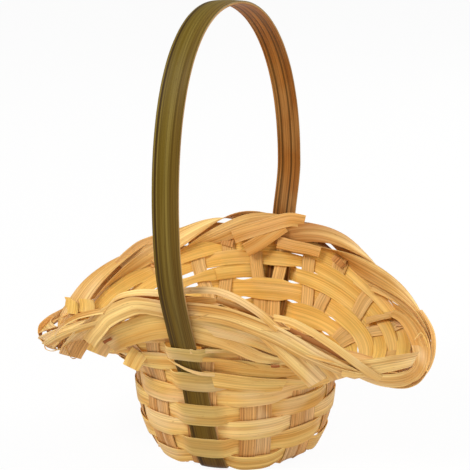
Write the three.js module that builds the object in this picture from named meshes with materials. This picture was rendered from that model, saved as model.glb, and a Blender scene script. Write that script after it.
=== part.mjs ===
// Flower basket woven from bamboo chip.
// A small round pot opens into a wide oval brim that droops at its two wings. Six long splints
// cross in the base and turn up as twelve stakes. Each stake is slit into two tines above the
// pot. Ten weavers run over and under them, three strands wrap the rim, and one bent bamboo
// hoop is tucked under the weavers as the handle.
// Millimetres, +Z up. The origin is the middle of the underside, +X runs to the longer wing,
// and the handle stands across the brim's short way, in the YZ plane.

import * as THREE from 'three'

// Chip stock and the room between two layers of it
const chipThickness = 0.5
const layerGap = 0.2

// Pot
const potHeight = 41
const potFootRadius = 41
const neckRadius = 49

// Brim, measured along its slope from the pot's mouth to the top of the rim
const neckOut = 3.5
const neckLift = 15
const brimDepth = 50
const rimFrontReach = 57
const rimBackReach = 57.5
const rimLeftReach = 96
const rimRightReach = 93.5
const rimFrontHeight = 87.5
const rimBackHeight = 99.5
const rimLeftHeight = 54
const rimRightHeight = 48.5
const leftWingCant = 18
const rightWingCant = 8
const rimSquareness = 2.8
const droopSharpness = 3.4

// Stakes and the plaited base that they start from
const stakeCount = 12
const stakeWidth = 13
const stakeSwing = 0.55
const heelRadius = 39.4
const heelBend = 2.6
const tineWidth = 6.4
const tineSpreadReach = 74
const tailLength = 10.5
const tailDrift = 6
const tailFold = 0.9
const tailLean = 1.8
const tailStepShares = [0.5, 1]
const bendPullShare = 0.55

// Weavers
const firstRowReach = 5.3
const rowPitch = 8.5
const rowClimbHeight = 3.2
const evenRowCount = 7
const upperRowShares = [0.46, 0.59, 0.707]
const upperWidthShares = [0.75, 0.62, 0.7]
const narrowShare = 0.92
const wideShare = 1.2
const firstRowWidthShare = 0.7
const potSwing = 1.4
const brimSwing = 1.5
const lapWidthShare = 0.8
const swingCrispShare = 0.5
const widenFromShare = 0.25
const lapAngle = 36 * Math.PI / 180
const lapStakes = [2, 4, 8, 3, 9, 4, 10, 8, 2, 10]

// Border
const borderWidth = 6.4
const borderReach = 86.4
const borderSway = 4.2
const borderRise = 3.9
const borderWingRise = 4.6
const borderWaves = 4
const borderStrandCount = 3
const borderStart = 22.5 * Math.PI / 180
const borderEndShare = 0.25
const borderEntryDrop = 1.6

// Handle
const handleWidth = 12
const handleThickness = 1.6
const handleCulmRadius = 45
const handleFootThickness = 1
const handleFootLength = 10
const handleFrontSpan = 72.2
const handleBackSpan = 73.2
const handleWidestHeight = 127
const handleCrownHeight = 214.6
const handleTurn = 4.5 * Math.PI / 180
const handleTurnHeight = 55
const legLeaveReach = 50
const legLeaveDepth = 6.4
const legLeavePower = 1.05
const legFadeWidth = 14.5
const handleCrownShift = 8
const frontShoulderShare = 0.57
const backShoulderShare = 0.59
const crownFrontShare = 0.7
const crownBackShare = 0.56
const grooveWidth = 0.9
const grooveDepth = 0.3
const insideGrooveShares = [0.3, 0.45]
const outsideGrooveShare = 0.6
const chamfer = 0.35

// Fineness of the steps
const profileSteps = 40
const stepsPerStake = 6
const stepsPerTine = 3
const borderStepsPerWave = 16
const heelSteps = 4
const foldSteps = 4
const footSteps = 2
const legSteps = 4
const crownSteps = 10

// Values that follow
const rowCount = evenRowCount + upperRowShares.length
const rimReach = potHeight + brimDepth
const tineCount = 2 * stakeCount
const stakeStep = 2 * Math.PI / stakeCount
const tineStep = 2 * Math.PI / tineCount
const latticePitch = heelRadius * Math.sin(stakeStep)
const layerPitch = chipThickness + layerGap
const lowLayer = chipThickness / 2
const highLayer = lowLayer + layerPitch
const overFootLayer = handleFootThickness + layerGap + chipThickness / 2
const handleSeat = chipThickness / 2 + layerGap + handleThickness / 2
const heelRise = heelBend + handleSeat

const mix = (from, to, share) => from + (to - from) * share
const clampShare = (share) => Math.min(1, Math.max(0, share))
const easeShare = (share) => {
  const held = clampShare(share)
  return held * held * (3 - 2 * held)
}

// Rim outline in plan and in height, by azimuth from the front (-Y) towards +X
function rimRadius(azimuth) {
  const across = Math.sin(azimuth)
  const back = -Math.cos(azimuth)
  const wing = across > 0 ? rimRightReach : rimLeftReach
  const side = back > 0 ? rimBackReach : rimFrontReach
  const spread = Math.abs(across / wing) ** rimSquareness + Math.abs(back / side) ** rimSquareness
  return spread ** (-1 / rimSquareness)
}

function rimHeight(azimuth) {
  const across = Math.sin(azimuth)
  const back = -Math.cos(azimuth)
  const wingHeight = mix(rimLeftHeight, rimRightHeight, (1 + across) / 2)
  const sideHeight = mix(rimFrontHeight, rimBackHeight, (1 + back) / 2)
  const cant = mix(leftWingCant, rightWingCant, (1 + across) / 2)
  return mix(sideHeight, wingHeight + cant * back, Math.abs(across) ** droopSharpness)
}

// Side profile of the basket: the pot's wall, then the brim's curve for one azimuth. The rows
// climb a little towards +X, where the weaving was pulled up.
const neck = new THREE.Vector2(neckRadius, potHeight)
const neckTangent = new THREE.Vector2(neckOut, neckLift)
const potCurve = new THREE.QuadraticBezierCurve(
  new THREE.Vector2(potFootRadius, 0),
  neck.clone().addScaledVector(neckTangent, -potHeight / 2 / neckLift),
  neck,
)
const brimCurves = new Map()

function brimCurve(azimuth) {
  if (!brimCurves.has(azimuth)) {
    const rim = new THREE.Vector2(rimRadius(azimuth), rimHeight(azimuth))
    const curve = new THREE.QuadraticBezierCurve(neck, neck.clone().add(neckTangent), rim)
    curve.arcLengthDivisions = profileSteps
    brimCurves.set(azimuth, curve)
  }
  return brimCurves.get(azimuth)
}

function profile(azimuth, evenReach) {
  const share = clampShare(evenReach / rimReach)
  const climb = rowClimbHeight * easeShare(evenReach / 2 / rowPitch) * (1 - share)
  const reach = evenReach + climb * Math.sin(azimuth)
  if (reach <= potHeight) {
    const potShare = reach / potHeight
    return { point: potCurve.getPoint(potShare), tangent: potCurve.getTangent(potShare) }
  }
  const curve = brimCurve(azimuth)
  const brimShare = Math.min(1, (reach - potHeight) / brimDepth)
  const tangent = curve.getTangentAt(brimShare)
  const over = Math.max(0, reach - rimReach)
  return { point: curve.getPointAt(brimShare).addScaledVector(tangent, over), tangent }
}

function shellRadius(azimuth, reach) {
  return profile(azimuth, reach).point.x
}

// A place on the basket: azimuth round it, reach up its slope, depth out of its middle surface
function shell(azimuth, reach, depth) {
  const { point, tangent } = profile(azimuth, reach)
  const radius = point.x + tangent.y * depth
  const height = point.y - tangent.x * depth
  return new THREE.Vector3(radius * Math.sin(azimuth), -radius * Math.cos(azimuth), height)
}

// A sheet of chip: points of its middle surface joined by quads, given its thickness at the end
class Sheet {
  constructor(thickness) {
    this.thickness = thickness
    this.points = []
    this.quads = []
  }

  row(points) {
    return points.map((point) => this.points.push(point) - 1)
  }

  join(rows) {
    for (let step = 1; step < rows.length; step += 1) {
      for (let column = 1; column < rows[step].length; column += 1) {
        this.quads.push([
          rows[step - 1][column - 1],
          rows[step - 1][column],
          rows[step][column],
          rows[step][column - 1],
        ])
      }
    }
  }

  normals() {
    const normals = this.points.map(() => new THREE.Vector3())
    for (const [a, b, c, d] of this.quads) {
      const first = this.points[c].clone().sub(this.points[a])
      const second = this.points[d].clone().sub(this.points[b])
      const face = first.cross(second)
      for (const corner of [a, b, c, d]) normals[corner].add(face)
    }
    return normals.map((normal) => normal.normalize())
  }

  geometry() {
    const half = this.thickness / 2
    const normals = this.normals()
    const count = this.points.length
    const outer = this.points.map((point, index) => point.clone().addScaledVector(normals[index], half))
    const inner = this.points.map((point, index) => point.clone().addScaledVector(normals[index], -half))
    const triangles = []
    const edges = new Set(this.quads.flatMap((quad) => {
      return quad.map((corner, index) => `${corner} ${quad[(index + 1) % quad.length]}`)
    }))
    for (const [a, b, c, d] of this.quads) {
      triangles.push(a, b, c, a, c, d)
      triangles.push(count + a, count + c, count + b, count + a, count + d, count + c)
    }
    for (const edge of edges) {
      const [a, b] = edge.split(' ').map(Number)
      if (edges.has(`${b} ${a}`)) continue
      triangles.push(b, a, count + a, b, count + a, count + b)
    }
    return closedGeometry([...outer, ...inner], triangles)
  }
}

function closedGeometry(points, triangles) {
  const geometry = new THREE.BufferGeometry()
  geometry.setAttribute('position', new THREE.Float32BufferAttribute(points.flatMap((p) => p.toArray()), 3))
  geometry.setIndex(triangles)
  geometry.computeVertexNormals()
  return geometry
}

// Rows of weaving
function rowReach(row) {
  if (row <= evenRowCount) return firstRowReach + (row - 1) * rowPitch
  return potHeight + upperRowShares[row - evenRowCount - 1] * brimDepth
}

const isTineRow = (row) => row > evenRowCount + 1
const rowSwing = (row) => (row > evenRowCount ? brimSwing : potSwing)

// The side that a row passes a stake or tine on: 1 outside, -1 inside
function weaverSide(row, stake, half) {
  const slot = isTineRow(row) ? 2 * stake + (half > 0 ? 1 : 0) : stake
  return (slot + row) % 2 === 0 ? 1 : -1
}

// A cosine made a little squarer, so that a weaver lies flat over a stake and turns beside it
function crispWave(angle) {
  const wave = Math.cos(angle)
  return wave * (1 + swingCrispShare * (1 - wave * wave))
}

function rowWave(row, azimuth) {
  const step = isTineRow(row) ? tineStep : stakeStep
  const start = isTineRow(row) ? -tineStep / 2 : 0
  const sign = row % 2 === 0 ? 1 : -1
  return sign * crispWave(Math.PI * (azimuth - start) / step)
}

// Depth of the handle's leg over the stake that carries it
function legDepth(reach) {
  const share = Math.max(0, reach - legLeaveReach) / (rimReach - legLeaveReach)
  return handleSeat + legLeaveDepth * share ** legLeavePower
}

// The hoop stands a little turned above the pot, and its legs cross their stakes at a slant
function hoopTurn(height) {
  return mix(-handleTurn, handleTurn, clampShare(height / handleTurnHeight))
}

// Depth of a row, which stands out further where it passes over the handle's leg
function rowDepth(row, azimuth, reach) {
  const swing = rowSwing(row) * rowWave(row, azimuth)
  if (row % 2 !== 0 || isTineRow(row)) return swing
  const { point } = profile(azimuth, reach)
  const offset = Math.abs(Math.sin(azimuth + hoopTurn(point.y))) * point.x
  const flat = handleWidth / 2 + chipThickness + layerGap
  const cover = 1 - easeShare((offset - flat) / (legFadeWidth - flat))
  const needed = legDepth(reach) + handleThickness / 2 + layerGap + chipThickness / 2
  return mix(swing, needed, cover)
}

function rowWidth(row, wave) {
  if (row > evenRowCount) return rowPitch * upperWidthShares[row - evenRowCount - 1]
  const share = mix(narrowShare, wideShare, easeShare((wave - widenFromShare) / (1 - widenFromShare)))
  return rowPitch * share * (row === 1 ? firstRowWidthShare : 1)
}

function weaver(row) {
  const sheet = new Sheet(chipThickness)
  const perStake = isTineRow(row) ? 2 * stepsPerTine : stepsPerStake
  const start = (lapStakes[row - 1] - 1) * stakeStep
  const step = stakeStep / perStake
  const lapSteps = Math.round(lapAngle / step)
  const turnSteps = stakeCount * perStake
  const rows = []
  for (let index = 0; index <= turnSteps + lapSteps; index += 1) {
    const azimuth = start + index * step
    const wave = rowWave(row, azimuth)
    const under = 1 - easeShare((index - lapSteps) / perStake)
    const over = easeShare((index - turnSteps + perStake) / perStake)
    const lap = (over - under) * layerPitch / 2
    const width = rowWidth(row, wave) * mix(1, lapWidthShare, Math.abs(over - under))
    const points = [-width / 2, width / 2].map((across) => {
      const reach = rowReach(row) + across
      const depth = rowDepth(row, azimuth, reach) + lap
      return shell(azimuth, reach, depth)
    })
    rows.push(sheet.row(points.reverse()))
  }
  sheet.join(rows)
  return sheet.geometry()
}

// Depth of a stake or tine between the rows that it weaves through
function stakeSide(row, stake, half) {
  if (row > rowCount) return 0
  return -weaverSide(row, stake, half)
}

function carriesHandle(stake) {
  return stake % (stakeCount / 2) === 0
}

function stakeDepth(reach, stake, half) {
  let row = 1
  while (row < rowCount && rowReach(row + 1) < reach) row += 1
  const low = rowReach(row)
  const high = row < rowCount ? rowReach(row + 1) : borderReach - borderSway
  const turn = (1 - Math.cos(Math.PI * clampShare((reach - low) / (high - low)))) / 2
  const side = mix(stakeSide(row, stake, half), stakeSide(row + 1, stake, half), turn)
  const calm = carriesHandle(stake) ? easeShare((reach - legLeaveReach) / rowPitch) : 1
  return stakeSwing * side * calm
}

// Height of a base splint's middle above the ground, by its place across the lattice
function latticeHeight(along, ownLane, runsAcross, overFoot) {
  const half = stakeWidth / 2 + layerGap
  const layers = [-1, 0, 1].map((lane) => {
    const even = (lane + ownLane) % 2 === 0
    return even === runsAcross ? highLayer : lowLayer
  })
  const outer = overFoot ? overFootLayer : layers[2]
  const stops = [
    [-latticePitch - half, layers[0]],
    [-latticePitch + half, layers[0]],
    [-half, layers[1]],
    [half, layers[1]],
    [latticePitch - half, layers[2]],
    [latticePitch + half, layers[2]],
  ]
  const footEdge = heelRadius - handleFootLength - layerGap
  if (Math.abs(along) > latticePitch + half) {
    const share = (Math.abs(along) - latticePitch - half) / (footEdge - latticePitch - half)
    return mix(layers[2], outer, easeShare(share))
  }
  for (let index = 1; index < stops.length; index += 1) {
    const [from, fromHeight] = stops[index - 1]
    const [to, toHeight] = stops[index]
    if (along <= to) return mix(fromHeight, toHeight, easeShare((along - from) / (to - from)))
  }
  return layers[2]
}

const wallStart = highLayer + heelBend
const acrosses = [-stakeWidth / 2, 0, stakeWidth / 2]
const slitReach = (rowReach(evenRowCount - 1) + rowReach(evenRowCount)) / 2

// Reaches at which a stake is stepped: the middle of each row and the middle between two rows
const wallReaches = []
for (let row = 1; row <= rowCount; row += 1) {
  if (row > 1) wallReaches.push((rowReach(row - 1) + rowReach(row)) / 2)
  wallReaches.push(rowReach(row))
}

// The azimuth that a tine stands at, half being -1 or 1 for its side of the slit
function tineAzimuth(stake, half, reach) {
  const azimuth = stake * stakeStep
  const slitOffset = stakeWidth / 4 / shellRadius(azimuth, slitReach)
  const share = easeShare((reach - slitReach) / (tineSpreadReach - slitReach))
  return azimuth + half * mix(slitOffset, tineStep / 2, share)
}

// Rows of a tine from the slit up. One tine of a stake ends in the border, and the other
// folds in over the last weaver and hangs there as a cut tail.
function tineRows(stake, half, sign) {
  const edges = (reach, depth, drift = 0) => {
    const width = mix(stakeWidth / 2, tineWidth, clampShare((reach - slitReach) / rowPitch))
    const azimuth = tineAzimuth(stake, half, reach)
    const radius = shellRadius(azimuth, reach)
    return [-1, 1].map((edge) => shell(azimuth + (sign * edge * width / 2 + drift) / radius, reach, depth))
  }
  const rows = wallReaches
    .filter((reach) => reach > slitReach)
    .map((reach) => edges(reach, stakeDepth(reach, stake, half)))
  if (half > 0) {
    const entry = borderReach - borderSway - borderEntryDrop
    const tip = borderReach - layerGap - chipThickness
    return [...rows, edges(entry, stakeDepth(entry, stake, half)), edges(tip, 0)]
  }
  const foldReach = rowReach(rowCount) + chipThickness + layerGap
  const depth = stakeDepth(rowReach(rowCount), stake, half)
  for (let index = 0; index <= foldSteps; index += 1) {
    const turn = Math.PI * index / foldSteps
    rows.push(edges(foldReach + tailFold * Math.sin(turn), depth - tailFold * (1 - Math.cos(turn))))
  }
  for (const share of tailStepShares) {
    const lean = 2 * tailFold + share * tailLean
    rows.push(edges(foldReach - share * tailLength, depth - lean, share * tailDrift))
  }
  return rows
}

// Rows of a stake from the end of the base up to its slit: the heel's bend, then the wall
function stakeRows(stake, sign, basePoints, outward) {
  const azimuth = stake * stakeStep
  const wall = (reach, depth) => acrosses.map((across) => {
    const angle = azimuth + sign * across / shellRadius(azimuth, reach)
    return shell(angle, reach, depth)
  })
  const depth = stakeDepth(wallStart, stake, 1)
  const top = wall(wallStart, depth)
  const above = wall(wallStart + heelBend, depth)
  const rows = []
  for (let index = 1; index <= heelSteps; index += 1) {
    rows.push(top.map((end, column) => {
      const rise = above[column].clone().sub(end).setLength(bendPullShare * heelBend)
      const run = outward.clone().multiplyScalar(bendPullShare * heelBend)
      const start = basePoints[column]
      const bend = new THREE.CubicBezierCurve3(start, start.clone().add(run), end.clone().sub(rise), end)
      return bend.getPoint(index / heelSteps)
    }))
  }
  const reaches = wallReaches.filter((reach) => reach > wallStart && reach <= slitReach)
  return [...rows, ...reaches.map((reach) => wall(reach, stakeDepth(reach, stake, 1)))]
}

// A long splint: flat through the plaited base, with a slit stake at each end
function splint(runsAcross, lane, nearStake, farStake) {
  const sheet = new Sheet(chipThickness)
  const overFoot = carriesHandle(farStake)
  const half = stakeWidth / 2 + layerGap
  const footEdge = heelRadius - handleFootLength - layerGap
  const heelAngle = Math.abs(lane) * stakeStep
  const place = (along, across) => {
    const side = lane * latticePitch + across
    const height = latticeHeight(along, lane, runsAcross, overFoot)
    return runsAcross ? new THREE.Vector3(along, side, height) : new THREE.Vector3(side, along, height)
  }
  const heelPoints = (end) => acrosses.map((across) => {
    const slant = lane * across * Math.tan(heelAngle)
    return place(end * (heelRadius * Math.cos(heelAngle) - slant), across)
  })
  const stops = [-latticePitch, 0, latticePitch].flatMap((centre) => [
    centre - half,
    centre - half / 2,
    centre + half / 2,
    centre + half,
  ])
  if (overFoot) stops.push(footEdge)
  if (overFoot) stops.unshift(-footEdge)
  const middle = stops.map((along) => acrosses.map((across) => place(along, across)))

  const walls = [[-1, nearStake], [1, farStake]].map(([end, stake]) => {
    const outward = runsAcross ? new THREE.Vector3(end, 0, 0) : new THREE.Vector3(0, end, 0)
    const azimuth = stake * stakeStep
    const sign = Math.sign(runsAcross ? Math.sin(azimuth) : Math.cos(azimuth))
    const base = heelPoints(end)
    return { end, stake, sign, base, rows: stakeRows(stake, sign, base, outward) }
  })
  const [near, far] = walls
  const rows = [...[...near.rows].reverse(), near.base, ...middle, far.base, ...far.rows]
  const ids = rows.map((row) => sheet.row(row))
  sheet.join(ids)
  for (const { end, stake, sign } of walls) {
    const slit = end < 0 ? ids[0] : ids[ids.length - 1]
    for (const side of [-1, 1]) {
      const shared = side * sign < 0 ? slit.slice(0, 2) : slit.slice(1)
      const tine = [shared, ...tineRows(stake, side, sign).map((row) => sheet.row(row))]
      sheet.join(end < 0 ? tine.reverse() : tine)
    }
  }
  return sheet.geometry()
}

// A border strand is a ribbon wound round the tine tips. Its flat faces away from the middle of
// the border all the way round, and its two ends lap inside.
function borderStrand(index) {
  const sheet = new Sheet(chipThickness)
  const start = borderStart + index * 2 * Math.PI / borderWaves / borderStrandCount
  const perTurn = borderWaves * borderStepsPerWave
  const lapSteps = borderStepsPerWave / 4
  const rows = []
  for (let step = 0; step <= perTurn + lapSteps; step += 1) {
    const turn = 2 * Math.PI * (step / borderStepsPerWave - borderEndShare)
    const azimuth = start + turn / borderWaves
    const under = 1 - easeShare((step - lapSteps) / lapSteps)
    const over = easeShare((step - perTurn + lapSteps) / lapSteps)
    const lap = (over - under) * layerPitch / 2
    const rise = mix(borderRise, borderWingRise, Math.abs(Math.sin(azimuth)) ** droopSharpness)
    const lean = new THREE.Vector2(borderSway * Math.sin(turn), rise * Math.cos(turn)).normalize()
    const reach = borderReach - borderSway * Math.cos(turn) - lap * lean.y
    const depth = rise * Math.sin(turn) + lap * lean.x
    rows.push(sheet.row([borderWidth / 2, -borderWidth / 2].map((across) => {
      return shell(azimuth, reach + across * lean.x, depth + across * lean.y)
    })))
  }
  sheet.join(rows)
  return sheet.geometry()
}

// The hoop's middle line in its own upright plane, from one foot over the crown to the other.
// Each point is a distance out from the pot's axis and a height.
function hoopSide(azimuth, span, shoulderShare, crownShare) {
  const points = []
  const footHeight = handleFootThickness / 2
  const bendHeight = overFootLayer + heelBend
  for (let step = 0; step <= footSteps; step += 1) {
    points.push(new THREE.Vector2(heelRadius - handleFootLength * (1 - step / footSteps), footHeight))
  }
  const wallPoint = (reach) => {
    const { point, tangent } = profile(azimuth, reach)
    const depth = legDepth(reach)
    return new THREE.Vector2(point.x + tangent.y * depth, point.y - tangent.x * depth)
  }
  const heelEnd = wallPoint(bendHeight)
  const heelNext = wallPoint(bendHeight + heelBend)
  const footEnd = points[points.length - 1]
  const pull = bendPullShare * (heelBend + handleSeat)
  const heel = new THREE.CubicBezierCurve(
    footEnd,
    footEnd.clone().add(new THREE.Vector2(pull, 0)),
    heelEnd.clone().sub(heelNext.sub(heelEnd).setLength(pull)),
    heelEnd,
  )
  points.push(...heel.getPoints(heelSteps).slice(1))
  for (let row = 2; row <= rowCount; row += 1) points.push(wallPoint(rowReach(row)))
  const top = wallPoint(rimReach)
  points.push(wallPoint((rowReach(rowCount) + rimReach) / 2), top)
  const climb = top.clone().sub(wallPoint(rimReach - rowPitch)).setLength((handleWidestHeight - top.y) / 3)
  const widest = new THREE.Vector2(span, handleWidestHeight)
  const leg = new THREE.CubicBezierCurve(
    top,
    top.clone().add(climb),
    widest.clone().sub(new THREE.Vector2(0, climb.length())),
    widest,
  )
  points.push(...leg.getPoints(legSteps).slice(1))
  const crownRise = handleCrownHeight - handleWidestHeight
  const crown = handleCrownShift * Math.cos(azimuth)
  const shoulder = new THREE.CubicBezierCurve(
    widest,
    widest.clone().add(new THREE.Vector2(0, shoulderShare * crownRise)),
    new THREE.Vector2(mix(crown, span, crownShare), handleCrownHeight),
    new THREE.Vector2(crown, handleCrownHeight),
  )
  points.push(...shoulder.getPoints(crownSteps).slice(1))
  return points
}

// Outline of the bamboo's section: a crowned skin with one groove, a flatter inside with two
function handleSection(fullShare) {
  const half = handleWidth / 2
  const thickness = mix(handleFootThickness, handleThickness, fullShare)
  const bow = (across) => -fullShare * across ** 2 / 2 / handleCulmRadius
  const outside = (across, sink) => new THREE.Vector2(across, bow(across) + thickness / 2 - sink)
  const inside = (across, sink) => new THREE.Vector2(across, bow(across) - thickness / 2 + sink)
  const notch = (side, middle) => [
    side(middle - grooveWidth / 2, 0),
    side(middle, grooveDepth * thickness / handleThickness),
    side(middle + grooveWidth / 2, 0),
  ]
  return [
    inside(-half, chamfer),
    inside(-half + chamfer, 0),
    ...notch(inside, -insideGrooveShares[0] * half),
    ...notch(inside, insideGrooveShares[1] * half),
    inside(half - chamfer, 0),
    inside(half, chamfer),
    outside(half, chamfer),
    outside(half - chamfer, 0),
    ...notch(outside, -outsideGrooveShare * half).reverse(),
    outside(-half + chamfer, 0),
    outside(-half, chamfer),
  ]
}

function handleHoop() {
  const front = hoopSide(0, handleFrontSpan, frontShoulderShare, crownFrontShare)
  const back = hoopSide(Math.PI, handleBackSpan, backShoulderShare, crownBackShare)
  const line = [
    ...front.map((point) => new THREE.Vector3(0, -point.x, point.y)),
    ...back.reverse().slice(1).map((point) => new THREE.Vector3(0, point.x, point.y)),
  ]
  const points = []
  const sections = line.map((centre, index) => {
    const before = line[Math.max(0, index - 1)]
    const after = line[Math.min(line.length - 1, index + 1)]
    const along = after.clone().sub(before).normalize()
    const out = new THREE.Vector3(1, 0, 0).cross(along)
    const fullShare = easeShare((centre.z - overFootLayer) / heelRise)
    return handleSection(fullShare).map((corner) => {
      const place = centre.clone().addScaledVector(out, corner.y)
      place.x += corner.x
      return points.push(place.applyAxisAngle(new THREE.Vector3(0, 0, 1), -hoopTurn(centre.z))) - 1
    })
  })
  const triangles = []
  for (let step = 1; step < sections.length; step += 1) {
    const [from, to] = [sections[step - 1], sections[step]]
    for (let corner = 0; corner < from.length; corner += 1) {
      const next = (corner + 1) % from.length
      triangles.push(from[corner], to[next], from[next], from[corner], to[corner], to[next])
    }
  }
  const cap = THREE.ShapeUtils.triangulateShape(handleSection(0), [])
  const last = sections[sections.length - 1]
  for (const [a, b, c] of cap) {
    triangles.push(sections[0][a], sections[0][b], sections[0][c])
    triangles.push(last[a], last[c], last[b])
  }
  return closedGeometry(points, triangles)
}

const group = new THREE.Group()

function addPiece(name, geometry, color, roughness) {
  const material = new THREE.MeshStandardMaterial({ color, roughness, metalness: 0 })
  const mesh = new THREE.Mesh(geometry, material)
  mesh.name = name
  group.add(mesh)
}

const chipColor = '#d9b070'
const stakeColor = '#cfa36a'
const skinColor = '#6f6a38'
const chipRoughness = 0.7
const skinRoughness = 0.5

addPiece('splint_front_to_back_left', splint(false, -1, 11, 7), stakeColor, chipRoughness)
addPiece('splint_front_to_back_middle', splint(false, 0, 0, 6), stakeColor, chipRoughness)
addPiece('splint_front_to_back_right', splint(false, 1, 1, 5), stakeColor, chipRoughness)
addPiece('splint_side_to_side_front', splint(true, -1, 10, 2), stakeColor, chipRoughness)
addPiece('splint_side_to_side_middle', splint(true, 0, 9, 3), stakeColor, chipRoughness)
addPiece('splint_side_to_side_back', splint(true, 1, 8, 4), stakeColor, chipRoughness)

for (let row = 1; row <= rowCount; row += 1) {
  addPiece(`weaver_${String(row).padStart(2, '0')}`, weaver(row), chipColor, chipRoughness)
}
for (let index = 0; index < borderStrandCount; index += 1) {
  addPiece(`border_strand_${index + 1}`, borderStrand(index), chipColor, chipRoughness)
}
addPiece('handle_hoop', handleHoop(), skinColor, skinRoughness)

export default group
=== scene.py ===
# %% [markdown]
# # A flower basket of woven bamboo chip
#
# Almost everything in this basket is a flat strip of split bamboo that runs along some path. So
# the lesson makes one good strip, and then lays it along six base splints, ten weavers, three
# border strands and one hoop handle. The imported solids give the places, and each strip here
# follows the same formulas, only in finer steps and with the unevenness of a plant.

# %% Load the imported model
import math

import bpy
import numpy as np
from mathutils import Matrix, Vector


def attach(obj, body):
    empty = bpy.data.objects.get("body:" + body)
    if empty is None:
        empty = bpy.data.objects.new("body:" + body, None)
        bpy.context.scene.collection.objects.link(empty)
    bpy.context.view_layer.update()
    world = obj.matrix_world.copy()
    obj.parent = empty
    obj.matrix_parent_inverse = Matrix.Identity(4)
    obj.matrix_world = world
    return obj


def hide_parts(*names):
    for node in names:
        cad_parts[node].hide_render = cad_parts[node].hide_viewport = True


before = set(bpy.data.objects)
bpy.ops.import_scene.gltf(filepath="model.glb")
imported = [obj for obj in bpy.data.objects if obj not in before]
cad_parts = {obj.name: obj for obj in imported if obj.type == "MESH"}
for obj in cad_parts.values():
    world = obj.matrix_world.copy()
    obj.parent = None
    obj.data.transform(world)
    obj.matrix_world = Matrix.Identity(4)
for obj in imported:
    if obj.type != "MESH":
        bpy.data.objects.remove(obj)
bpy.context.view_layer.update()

# %% [markdown]
# ## The camera
#
# The photograph was taken from a little right of the front leg and well above the base. The
# camera comes first, so that every later render can be laid over the photograph. It could be
# placed by eye, but a long rim shows the smallest error. So its place and lens were worked out
# from points measured on the rim, the pot and the handle.

# %% Camera
AZIMUTH, PITCH, ROLL, YAW = (math.radians(a) for a in (19.413, 14.551, -0.705, -0.034))
CAMERA_AWAY, CAMERA_HEIGHT = 0.5688, 0.25112
LENS, SENSOR = 93.47, 36.0

heading = AZIMUTH + YAW
ahead = Vector((-math.sin(heading), math.cos(heading), 0)) * math.cos(PITCH)
ahead.z = -math.sin(PITCH)
level = Vector((math.cos(heading), math.sin(heading), 0))
upward = level.cross(ahead)
right = level * math.cos(ROLL) + upward * math.sin(ROLL)
top = upward * math.cos(ROLL) - level * math.sin(ROLL)
place = Vector((math.sin(AZIMUTH), -math.cos(AZIMUTH), 0)) * CAMERA_AWAY
place.z = CAMERA_HEIGHT

camera_data = bpy.data.cameras.new("camera")
camera_data.lens, camera_data.sensor_width = LENS, SENSOR
camera_data.clip_start = 0.01
camera = bpy.data.objects.new("camera", camera_data)
camera.matrix_world = Matrix((
    (right.x, top.x, -ahead.x, place.x),
    (right.y, top.y, -ahead.y, place.y),
    (right.z, top.z, -ahead.z, place.z),
    (0, 0, 0, 1),
))
bpy.context.scene.collection.objects.link(camera)
bpy.context.scene.camera = camera
print("camera at", tuple(round(v, 4) for v in place))

# %% [markdown]
# ## Sizes and the basket's surface
#
# A basket maker thinks in stakes and rows, not in X, Y and Z. So do the formulas: `shell` turns
# an azimuth round the basket, a reach up its slope and a depth out of its surface into a point.
# The wall could also be sculpted from a bowl, but no strip could then be worked out on its own.
# The sizes are in millimetres and become metres in `shell`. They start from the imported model, and
# the wings, the pot's belly and the chip's thickness were then fitted closer to the photograph.

# %% Sizes
MM = 0.001
CHIP, GAP = 0.36, 0.08  # the chip's thickness, and the air between two layers
POT_HEIGHT, BRIM_DEPTH = 41.0, 50.0  # up to the neck, and from the neck to the rim
POT_FOOT, POT_BELLY, NECK = 40.4, 48.6, 49.4  # radii of the pot
BELLY_FLARE = 0.3  # how much wider the upper belly is than the lower one
# Where the brim's curve heads when it leaves the neck, out and up, and how long it keeps to that
BENDS = {"side": (3.0, 12.7), "left": (30.0, 6.0), "right": (21.0, 4.3)}
BEND_SHARE = 0.66
RIM_REACHES = {"front": 58.6, "back": 57.6, "left": 97.0, "right": 94.0}
RIM_HEIGHTS = {"front": 88.5, "back": 99.5, "left": 53.4, "right": 47.9}
LEFT_CANT, RIGHT_CANT = 24.0, 7.7  # how far each wing tips forward
SQUARENESS, SHARPNESS = 2.7, 3.15  # of the rim seen from above, and of the wings' droop
ROW_PITCH, ROW_RISE = 8.5, 3.2  # from one weaver to the next, and their climb towards +X
STAKES, TINES = 12, 24
STAKE_STEP, TINE_STEP = math.tau / STAKES, math.tau / TINES
RIM_REACH = POT_HEIGHT + BRIM_DEPTH
print("the wall is", RIM_REACH, "mm up its slope, with", STAKES, "stakes and", TINES, "tines")


def mix(start, end, share):
    return start + (end - start) * share


def ease(share):
    share = np.clip(share, 0, 1)
    return share * share * (3 - 2 * share)


# %% The rim and the side profile
def rim(azimuth):
    """Radius and height of the rim at an azimuth from the front, turning towards +X."""
    across, back = np.sin(azimuth), -np.cos(azimuth)
    wing = np.where(across > 0, RIM_REACHES["right"], RIM_REACHES["left"])
    side = np.where(back > 0, RIM_REACHES["back"], RIM_REACHES["front"])
    spread = np.abs(across / wing) ** SQUARENESS + np.abs(back / side) ** SQUARENESS
    wing_height = mix(RIM_HEIGHTS["left"], RIM_HEIGHTS["right"], (1 + across) / 2)
    side_height = mix(RIM_HEIGHTS["front"], RIM_HEIGHTS["back"], (1 + back) / 2)
    cant = mix(LEFT_CANT, RIGHT_CANT, (1 + across) / 2)
    droop = np.abs(across) ** SHARPNESS
    return spread ** (-1 / SQUARENESS), mix(side_height, wing_height + cant * back, droop)


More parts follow.
